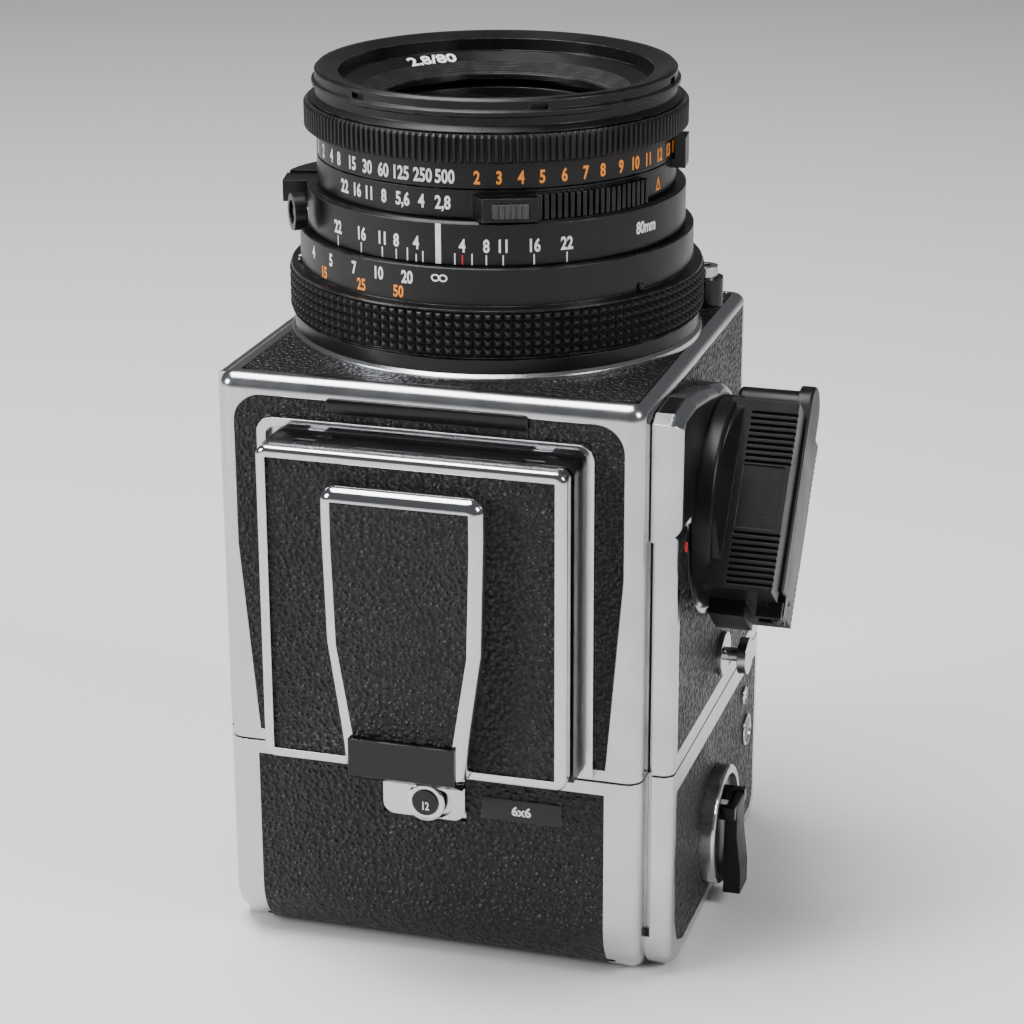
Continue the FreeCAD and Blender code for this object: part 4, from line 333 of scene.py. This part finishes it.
DRESS = {
    "satin chrome": ["main_shell", "left_cover", "right_cover", "mag_shell", "mount_ring", "release_button",
                     "lens_catch_button", "strap_lugs"],
    "polished chrome": ["finder_rail", "lid_frame", "magnifier_cover"],
    "pebbled leather": ["left_leather", "right_leather", "lid_leathers", "mag_leather", "mag_side_leather",
                        "front_leather"],
    "fine leather": ["top_leather"],
    "lens black": ["lens_mount", "focus_ring", "lens_core", "depth_ring", "aperture_ring", "speed_ring",
                   "front_rim", "preview_tab", "sync_socket"],
    "button black": ["interlock_button"],
    "matt black": ["mirror_box", "mirror_frame", "upper_flap", "lower_flap", "iris_blades", "hood_left",
                   "hood_right", "hood_rear", "magnifier_ring", "film_insert"],
    "black enamel": ["release_collar", "finder_base", "lid_tab", "mag_catch", "film_crank"],
    "crank black": ["crank_hub", "crank_arm", "crank_grip", "film_crank_handle", "takeup_spool"],
    "dull steel": ["film_gear", "tripod_foot", "accessory_rail", "dark_slide"],
    "plain brass": ["winding_gear"],
    "backing paper": ["supply_spool"],
    "coated glass": ["front_glass", "rear_glass", "magnifier_lens"],
    "ground glass": ["focusing_screen"],
    "silvered glass": ["mirror_glass"],
}


def dress_nodes():
    """Puts its finish on every carried-over piece of the frame."""
    for finish, names in DRESS.items():
        for name in names:
            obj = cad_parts[name]
            for slot in obj.material_slots:
                slot.material = finishes[finish]


# Mesh helpers


def new_piece(name, vertices, faces, finish, body, smooth=30):
    """A mesh from millimetre points, shaded smooth below an angle, that rides on a body."""
    mesh = bpy.data.meshes.new(name)
    mesh.from_pydata([tuple(c * MM for c in v) for v in vertices], [], faces)
    mesh.validate()
    shell = bmesh.new()
    shell.from_mesh(mesh)
    bmesh.ops.remove_doubles(shell, verts=shell.verts, dist=MM / 1000)
    bmesh.ops.recalc_face_normals(shell, faces=shell.faces)
    shell.to_mesh(mesh)
    shell.free()
    mesh.materials.append(finishes[finish])
    mesh.polygons.foreach_set("use_smooth", [True] * len(mesh.polygons))
    mesh.set_sharp_from_angle(angle=math.radians(smooth))
    obj = bpy.data.objects.new(name, mesh)
    bpy.context.scene.collection.objects.link(obj)
    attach(obj, body)
    return obj


def on_lens(radius, degrees, z):
    """A point round the lens, with the degrees counted from the finder side towards the crank side."""
    turn = math.radians(degrees)
    return (radius * math.sin(turn), -radius * math.cos(turn), z)


def turned(profile, columns):
    """Vertices and faces of a closed profile of (radius, z) turned round the lens axis."""
    rows = len(profile)
    vertices = [on_lens(r, 360 * i / columns, z) for i in range(columns) for r, z in profile]
    faces = []
    for i in range(columns):
        j = (i + 1) % columns
        for k in range(rows):
            m = (k + 1) % rows
            faces.append((i * rows + k, j * rows + k, j * rows + m, i * rows + m))
    return vertices, faces


# Lens rings


def grip_faces(obj, beyond, low=-math.inf, high=math.inf):
    """Gives the grip's finish to the faces further out than a radius and between two heights."""
    mesh = obj.data
    mesh.materials.append(finishes["grip black"])
    for polygon in mesh.polygons:
        if polygon.center.xy.length / MM > beyond and low < polygon.center.z / MM < high:
            polygon.material_index = 1


def knurled_focus_ring():
    """The focus ring: a band for the figures and a grip of square pyramids in five rows."""
    columns, rows = 136, 5
    grip_low, grip_high, tip, foot = 122.6, 131.0, 40.4, 39.5
    flat = 0.13  # half of a pyramid's flat tip, as a share of its base
    margin = 0.01
    upper = [(40.1, 131.05), (40.0, 131.4), (38.2, 131.7), (38.2, 138.6), (38.0, 138.8), (34.0, 138.8),
             (33.7, 138.6), (33.7, 122.4), (34.0, 122.1), (39.7, 122.1), (40.1, 122.4)]
    vertices, faces = [], []
    ring = len(upper)
    for i in range(columns):
        vertices += [on_lens(r, 360 * i / columns, z) for r, z in upper]
    for i in range(columns):
        j = (i + 1) % columns
        for k in range(ring - 1):
            faces.append((i * ring + k, j * ring + k, j * ring + k + 1, i * ring + k + 1))
    base, column = len(vertices), rows + 1
    step = (grip_high - grip_low) / rows
    for i in range(columns):
        vertices += [on_lens(foot, 360 * i / columns, grip_low + step * k) for k in range(column)]
    for i in range(columns):
        j = (i + 1) % columns
        left, right = base + i * column, base + j * column
        for k in range(rows):
            corners = (left + k, right + k, right + k + 1, left + k + 1)
            start = len(vertices)
            for across, up in ((-flat, -flat), (flat, -flat), (flat, flat), (-flat, flat)):
                z = grip_low + step * (k + 0.5 + up)
                vertices.append(on_lens(tip, 360 * (i + 0.5 + across) / columns, z))
            faces.append((start, start + 1, start + 2, start + 3))
            for side in range(4):
                after = (side + 1) % 4
                faces.append((corners[side], corners[after], start + after, start + side))
        faces.append((left + rows, right + rows, j * ring, i * ring))
        faces.append((i * ring + ring - 1, j * ring + ring - 1, right, left))
    obj = new_piece("focus_ring_knurled", vertices, faces, "lens black", "focus_ring",
                    smooth=24)
    grip_faces(obj, beyond=38.5, low=grip_low - margin, high=grip_high + margin)
    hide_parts("focus_ring")


def ribbed_speed_ring():
    """The speed ring: a band for the figures and a grip of straight ribs."""
    ribs, steps = 180, 6
    columns = ribs * steps
    groove = 0.5
    lobes = (0.0, 0.0, 1.0, 1.0, 1.0, 0.0)
    profile = [(31.7, 152.95), (31.9, 152.75), (34.45, 152.75), (34.6, 152.9), (34.6, 157.5), (35.2, 157.8),
               (36.3, 157.8), (36.9, 158.3), (36.9, 162.6), (36.4, 163.1), (31.9, 163.1), (31.7, 162.9)]
    ribbed = {6: 0.5, 7: 1.0, 8: 1.0, 9: 0.5}  # how deep the grooves reach at these points of the profile
    vertices, faces = turned(profile, columns)
    rows = len(profile)
    for i in range(columns):
        for k, share in ribbed.items():
            r, z = profile[k]
            cut = groove * share * (1 - lobes[i % steps])
            vertices[i * rows + k] = on_lens(r - cut, 360 * i / columns, z)
    obj = new_piece("speed_ring_ribbed", vertices, faces, "lens black", "speed_ring", smooth=28)
    grip_faces(obj, beyond=35.4)
    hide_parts("speed_ring")


def baffle_ridges():
    """The stepped light trap inside the front rim, fine concentric ridges down to the glass."""
    outer, inner, high, low, count = 25.8, 22.9, 164.35, 162.85, 7
    ridge = ((0.0, 0.0), (0.15, 0.32), (0.45, 0.32), (0.6, -0.1))  # shares of the pitch, and rises
    skirt, columns = 0.5, 160
    pitch = (outer - inner) / count
    profile = []
    for k in range(count):
        r = outer - pitch * k
        z = high - (high - low) * k / count
        profile += [(r - pitch * share, z + rise) for share, rise in ridge]
    profile += [(inner, low), (inner, low - skirt), (outer, high - skirt)]
    vertices, faces = turned(profile, columns)
    new_piece("baffle_ridges", vertices, faces, "matt black", "lens_front")


# Figures and lines on the rings

# Radii of the figured bands, and Z of the middle of each row of figures.
DIAL_R, DEPTH_R, BAND_R = 34.6, 36.6, 38.2
SPEED_ROW, APERTURE_ROW, DEPTH_ROW, METRE_ROW, FEET_ROW = 155.0, 150.15, 142.75, 136.5, 133.6
LINE_FOOT, THIN_LINE = 139.1, 0.24
# The cone inside the front rim, and the radius of the figures on it.
CONE_R, CONE_Z, CONE_SLOPE, RIM_FIGURES_R = 22.6, 162.62, 0.5156, 27.6
# Paint reaches from under the surface to just above it.
SUNK, RIM_SUNK, ROUND_PROUD, PROUD = -0.05, -0.04, 0.04, 0.05

# Each figure with its degrees round the lens, and each depth line with its degrees and the Z of its top.
SPEEDS = (("1", -60.0), ("2", -53.4), ("4", -46.1), ("8", -41.1), ("15", -33.7), ("30", -26.5), ("60", -19.9),
          ("125", -13.5), ("250", -5.9), ("500", 1.2))
EXPOSURES = (11.1, 17.8, 24.5, 31.0, 38.0, 45.1, 51.3, 58.5, 64.8, 71.7, 78.7, 86.0, 93.0)
APERTURES = (("22", -37.9), ("16", -31.5), ("11", -25.9), ("8", -19.8), ("5,6", -12.9), ("4", -6.4),
             ("2,8", 0.5))
DEPTHS = (("22", -37.1), ("16", -26.3), ("11", -18.2), ("8", -13.3), ("4", -6.8), ("4", 7.1), ("8", 14.0),
          ("11", 18.8), ("16", 27.7), ("22", 37.5))
DEPTH_LINES = ((-37.1, 141.0), (-26.3, 141.0), (-18.2, 141.0), (-13.3, 141.0), (-9.6, 141.5), (-6.8, 140.5),
               (-4.7, 141.2), (4.9, 141.2), (9.9, 141.2), (14.0, 141.0), (18.8, 141.0), (27.7, 141.0),
               (37.5, 141.0))
METRES = (("4", -48.1), ("5", -37.5), ("7", -27.0), ("10", -18.0), ("20", -8.6))
FEET = (("15", -41.4), ("25", -24.2), ("50", -11.4))


def figure_outline(text, height, narrow=0.72, weight=0.028):
    """The flat outline of a text as points and faces, centred, with digits of that height."""
    digit = 0.73  # height of a digit in the font's own unit
    curve = bpy.data.curves.new("figure", "FONT")
    curve.body = text
    curve.align_x = "CENTER"
    curve.offset = weight
    curve.resolution_u = 3
    maker = bpy.data.objects.new("figure", curve)
    bpy.context.scene.collection.objects.link(maker)
    bpy.context.view_layer.update()
    mesh = bpy.data.meshes.new_from_object(maker)
    points = [(v.co.x, v.co.y) for v in mesh.vertices]
    faces = [tuple(p.vertices) for p in mesh.polygons]
    bpy.data.objects.remove(maker)
    bpy.data.meshes.remove(mesh)
    bpy.data.curves.remove(curve)
    scale = height / digit
    return [(x * scale * narrow, (y - digit / 2) * scale) for x, y in points], faces


def round_lens(radius, degrees, z):
    """A place on a ring: u runs round the lens, v along it and the level outwards."""
    return lambda u, v, level: on_lens(radius + level, degrees + math.degrees(u / radius), z + v)


class Marks:
    """Collects raised figures and lines of one paint on one body, then makes them one piece."""

    def __init__(self):
        self.vertices, self.faces = [], []

    def add(self, outline, faces, place, low, high):
        """Two skins, at the low and the high level, joined along the outline's open edges."""
        start, count = len(self.vertices), len(outline)
        self.vertices += [place(u, v, low) for u, v in outline]
        self.vertices += [place(u, v, high) for u, v in outline]
        edges = {}
        for face in faces:
            self.faces.append(tuple(start + k for k in reversed(face)))
            self.faces.append(tuple(start + count + k for k in face))
            for a, b in zip(face, face[1:] + face[:1]):
                edges[frozenset((a, b))] = None if frozenset((a, b)) in edges else (a, b)
        for pair in edges.values():
            if pair:
                a, b = pair
                self.faces.append((start + a, start + b, start + count + b, start + count + a))

    def on_ring(self, text, radius, degrees, z, height):
        outline, faces = figure_outline(text, height)
        self.add(outline, faces, round_lens(radius, degrees, z), SUNK, ROUND_PROUD)

    def line_on_ring(self, radius, degrees, low, high, width):
        half = math.degrees(width / 2 / radius)
        outline = [(-half, low), (half, low), (half, high), (-half, high)]

        def place(u, v, level):
            return on_lens(radius + level, degrees + u, v)

        self.add(outline, [(0, 1, 2, 3)], place, SUNK, PROUD)

    def on_top(self, text, x, z, off, height, **shape):
        """A text on the finder side, its middle at X and Z and its foot that far off the top face."""
        outline, faces = figure_outline(text, height, **shape)
        self.add(outline, faces, lambda u, v, level: top_side(x + u, z + v, off + level), SUNK, PROUD)

    def make(self, name, finish, body):
        new_piece(name, self.vertices, self.faces, finish, body)


def speed_scale():
    """The shutter speeds in white and the exposure values in orange."""
    white, orange = Marks(), Marks()
    for text, degrees in SPEEDS:
        white.on_ring(text, DIAL_R, degrees, SPEED_ROW, height=2.55)
    for k, degrees in enumerate(EXPOSURES):
        orange.on_ring(str(k + 2), DIAL_R, degrees, SPEED_ROW, height=2.45)
    white.make("speed_figures", "white paint", "speed_ring")
    orange.make("exposure_figures", "orange paint", "speed_ring")


def aperture_scale():
    """The apertures in white and the orange triangle under the exposure values."""
    white, orange = Marks(), Marks()
    for text, degrees in APERTURES:
        white.on_ring(text, DIAL_R, degrees, APERTURE_ROW, height=2.5)
    white.make("aperture_figures", "white paint", "aperture_ring")
    corners = [(-1.0, -1.3), (1.0, -1.3), (0.0, 1.3), (-0.55, -0.98), (0.55, -0.98), (0.0, 0.5)]
    sides = [(0, 1, 4, 3), (1, 2, 5, 4), (2, 0, 3, 5)]
    orange.add(corners, sides, round_lens(DIAL_R, 78.0, 149.6), SUNK, PROUD)
    orange.make("exposure_mark", "orange paint", "aperture_ring")


def depth_scale():
    """The depth scale, the index line, the lens data in the rim and the red infrared line."""
    white, red = Marks(), Marks()
    for text, degrees in DEPTHS:
        white.on_ring(text, DEPTH_R, degrees, DEPTH_ROW, height=2.45)
    for degrees, top in DEPTH_LINES:
        white.line_on_ring(DEPTH_R, degrees, LINE_FOOT, top, THIN_LINE)
    white.line_on_ring(DEPTH_R, 0.0, LINE_FOOT, high=146.6, width=1.05)
    white.on_ring("80mm", DEPTH_R, 66.5, 143.2, height=2.3)
    red.line_on_ring(DEPTH_R, 7.1, LINE_FOOT, high=140.9, width=THIN_LINE)
    outline, faces = figure_outline("2,8/80", 2.3, narrow=1.35)

    def inside_rim(u, v, level):
        r = RIM_FIGURES_R + v
        z = CONE_Z + (r - CONE_R) * CONE_SLOPE + level
        return on_lens(r, 225.0 - math.degrees(u / RIM_FIGURES_R), z)

    white.add(outline, faces, inside_rim, RIM_SUNK, PROUD)
    white.make("depth_figures", "white paint", "lens_front")
    red.make("infrared_line", "red paint", "lens_front")


def focus_scale():
    """The distances in metres with the two loops of infinity in white, and those in feet in orange."""
    white, orange = Marks(), Marks()
    for text, degrees in METRES:
        white.on_ring(text, BAND_R, degrees, METRE_ROW, height=2.4)
    columns, across, along, hollow = 16, 0.85, 0.72, 0.62  # of one loop of infinity
    turns = [math.tau * k / columns for k in range(columns)]
    outline = [(across * math.cos(t) * s, along * math.sin(t) * s) for s in (1.0, hollow) for t in turns]
    faces = [(k, (k + 1) % columns, columns + (k + 1) % columns, columns + k) for k in range(columns)]
    for degrees in (-0.15, 2.05):
        white.add(outline, faces, round_lens(BAND_R, degrees, 136.8), SUNK, ROUND_PROUD)
    for text, degrees in FEET:
        orange.on_ring(text, BAND_R, degrees, FEET_ROW, height=2.25)
    white.make("metre_figures", "white paint", "focus_ring")
    orange.make("feet_figures", "orange paint", "focus_ring")


# Plates and small fittings

# How far the top face, the catch's face and the crank side lie from the lens axis.
TOP_FACE, CATCH_FACE, CRANK_SIDE = 45.4, 45.93, 46.4
CATCH_X, CATCH_Z = -0.9, 34.6
SEAT = -0.1  # how deep a plate or fitting reaches into what it sits on


def top_side(x, z, level):
    """A point on the finder side, by X, Z and height off the top face."""
    return (x, -TOP_FACE - level, z)


def crank_side(y, z):
    """A place on the crank side: u runs along Y, v up and the level outwards."""
    return lambda u, v, level: (CRANK_SIDE + level, y + u, z + v)


def rounded_plate(name, corners, radius, high, edge):
    """A thin enamelled plate on the finder side, bevelled by edge; corners are (x0, z0, x1, z1)."""
    x0, z0, x1, z1 = corners
    steps, shoulder = 6, 0.3  # of a rounded corner, and of the bevel
    ring = []
    for cx, cz, start in ((x1 - radius, z0 + radius, -90), (x1 - radius, z1 - radius, 0),
                          (x0 + radius, z1 - radius, 90), (x0 + radius, z0 + radius, 180)):
        for step in range(steps + 1):
            turn = math.radians(start + 90 / steps * step)
            ring.append((cx, cz, math.cos(turn), math.sin(turn)))
    vertices = []
    for level, inset in ((SEAT, 0.0), (high - edge, 0.0), (high - edge * shoulder, edge * shoulder),
                         (high, edge)):
        reach = radius - inset
        vertices += [top_side(cx + a * reach, cz + b * reach, level) for cx, cz, a, b in ring]
    count = len(ring)
    faces = [tuple(range(count))[::-1], tuple(range(3 * count, 4 * count))]
    for low in range(0, 3 * count, count):
        for k in range(count):
            m = (k + 1) % count
            faces.append((low + k, low + m, low + count + m, low + count + k))
    new_piece(name, vertices, faces, "black enamel", "camera")


def round_fitting(name, profile, place, finish, body, columns=48):
    """A small turned piece from (radius, height) steps that starts and ends on its own axis."""
    rows = len(profile)
    vertices, faces = [], []
    for i in range(columns):
        turn = math.tau * i / columns
        vertices += [place(r * math.cos(turn), r * math.sin(turn), h) for r, h in profile]
    for i in range(columns):
        j = (i + 1) % columns
        faces += [(i * rows + k, j * rows + k, j * rows + k + 1, i * rows + k + 1) for k in range(rows - 1)]
    new_piece(name, vertices, faces, finish, body)


def bare_plates():
    """The bare name plate, the format plate and the plain figures on it and on the catch."""
    rounded_plate("name_plate", (-19.4, 111.25, 19.7, 114.3), radius=0.8, high=0.35, edge=0.12)
    rounded_plate("format_plate", (10.2, 32.6, 26.2, 37.2), radius=0.5, high=0.12, edge=0.05)
    figures = Marks()
    figures.on_top("6x6", 18.2, 34.9, off=0.13, height=1.9, narrow=1.0, weight=0.03)
    figures.make("format_figures", "white paint", "camera")
    count = Marks()
    count.on_top("12", CATCH_X, 34.0, off=0.92, height=1.7, narrow=0.7)
    count.make("catch_figures", "white paint", "mag_catch")


def small_fittings():
    """The magazine's two windows, the dot and the pins, and the dish of the catch button."""
    frame_steps = ((0.0, SEAT), (1.0, SEAT), (1.0, 0.35), (0.94, 0.5), (0.84, 0.5), (0.78, 0.2), (0.0, 0.2))
    pane_steps = ((0.0, 0.15), (0.77, 0.15), (0.77, 0.28), (0.6, 0.4), (0.0, 0.45))
    for window, y, z, radius, pane in (("signal_window", 23.0, 33.9, 1.9, "white paint"),
                                       ("counter_window", 26.0, 24.8, 3.4, "black enamel")):
        for part, steps, finish in (("frame", frame_steps, "polished chrome"), ("pane", pane_steps, pane)):
            profile = [(r * radius, h) for r, h in steps]
            round_fitting(f"{window}_{part}", profile, crank_side(y, z), finish, "camera")
    dot = ((0.0, SEAT), (0.95, SEAT), (0.95, 0.1), (0.8, 0.18), (0.0, 0.2))
    round_fitting("lens_change_dot", dot, crank_side(-32.6, 87.1), "red paint", "camera")
    screw = ((0.0, SEAT), (0.75, SEAT), (0.75, 0.35), (0.45, 0.6), (0.0, 0.62))
    for name, degrees, finish in (("focus_stop_pin", 61.2, "lens black"),
                                  ("focus_screw", -65.5, "polished chrome")):
        round_fitting(name, screw, round_lens(BAND_R, degrees, 132.4), finish, "focus_ring", columns=24)
    dish = ((2.7, 0.0), (3.9, 0.0), (3.9, 0.12), (3.5, 0.3), (2.9, 0.14), (2.7, 0.14), (2.7, 0.0))
    round_fitting("catch_dish", dish, lambda u, v, level: (CATCH_X + u, -CATCH_FACE - level, CATCH_Z + v),
                  "polished chrome", "mag_catch")
    pin = ((0.0, SEAT), (0.9, SEAT), (0.9, 0.3), (0.6, 0.55), (0.0, 0.6))
    round_fitting("side_pin", pin, crank_side(-12.6, 66.4), "polished chrome", "camera")


# Stage, camera and light


def stage():
    """The plain pale floor."""
    half = 3.0
    mesh = bpy.data.meshes.new("floor")
    corners = [(-half, -half, 0), (half, -half, 0), (half, half, 0), (-half, half, 0)]
    mesh.from_pydata(corners, [], [(0, 1, 2, 3)])
    floor = bpy.data.objects.new("floor", mesh)
    bpy.context.scene.collection.objects.link(floor)
    material, w, shader = fresh("pale paper")
    grain = placed(w, GRAIN, Scale=900.0)["Height"]
    w.feed(shader.inputs["Base Color"], w.blend(grain, (0.80, 0.79, 0.78, 1.0), (0.84, 0.83, 0.82, 1.0)))
    w.feed(shader.inputs["Roughness"], w.spread(grain, 0.0, 1.0, 0.8, 0.95))
    mesh.materials.append(material)


def studio():
    """The photograph's camera and three softboxes."""
    yaw, roll, distance = math.radians(16.8), math.radians(-0.22), 0.514485
    target = Vector((0.0189, -0.05324, 0.09847))
    back = Vector((0.27177, -0.90016, 0.34038))
    right = Vector((math.cos(yaw), math.sin(yaw), 0.0))
    up = back.cross(right)
    across = right * math.cos(roll) + up * math.sin(roll)
    above = up * math.cos(roll) - right * math.sin(roll)
    lens = bpy.data.cameras.new("view")
    lens.lens = 100.18
    lens.sensor_width = 36.0
    lens.clip_start = 0.01
    camera = bpy.data.objects.new("view", lens)
    turn = Matrix((across, above, back)).transposed().to_4x4()
    camera.matrix_world = Matrix.Translation(target + back * distance) @ turn
    bpy.context.scene.collection.objects.link(camera)
    bpy.context.scene.camera = camera
    lit = Vector((0.0, -0.02, 0.08))  # the point that all softboxes face
    for name, place, size, power, tint in (
            ("top softbox", (-0.2, -0.1, 0.95), 0.55, 15.0, (1.0, 0.98, 0.96)),
            ("left softbox", (-0.9, -0.7, 0.5), 0.4, 11.0, (0.95, 0.97, 1.0)),
            ("right softbox", (0.95, -0.35, 0.7), 0.35, 8.0, (1.0, 0.99, 0.97))):
        light = bpy.data.lights.new(name, "AREA")
        light.shape = "SQUARE"
        light.size = size
        light.energy = power
        light.color = tint
        lamp = bpy.data.objects.new(name, light)
        lamp.location = place
        lamp.rotation_mode = "QUATERNION"
        lamp.rotation_quaternion = (lit - Vector(place)).to_track_quat("-Z", "Y")
        bpy.context.scene.collection.objects.link(lamp)
    world = bpy.data.worlds.new("studio")
    world.use_nodes = True
    background = world.node_tree.nodes["Background"].inputs
    background["Color"].default_value = (0.9, 0.92, 0.95, 1.0)
    background["Strength"].default_value = 0.16
    bpy.context.scene.world = world


dress_nodes()
knurled_focus_ring()
ribbed_speed_ring()
baffle_ridges()
speed_scale()
aperture_scale()
depth_scale()
focus_scale()
bare_plates()
small_fittings()
stage()
studio()
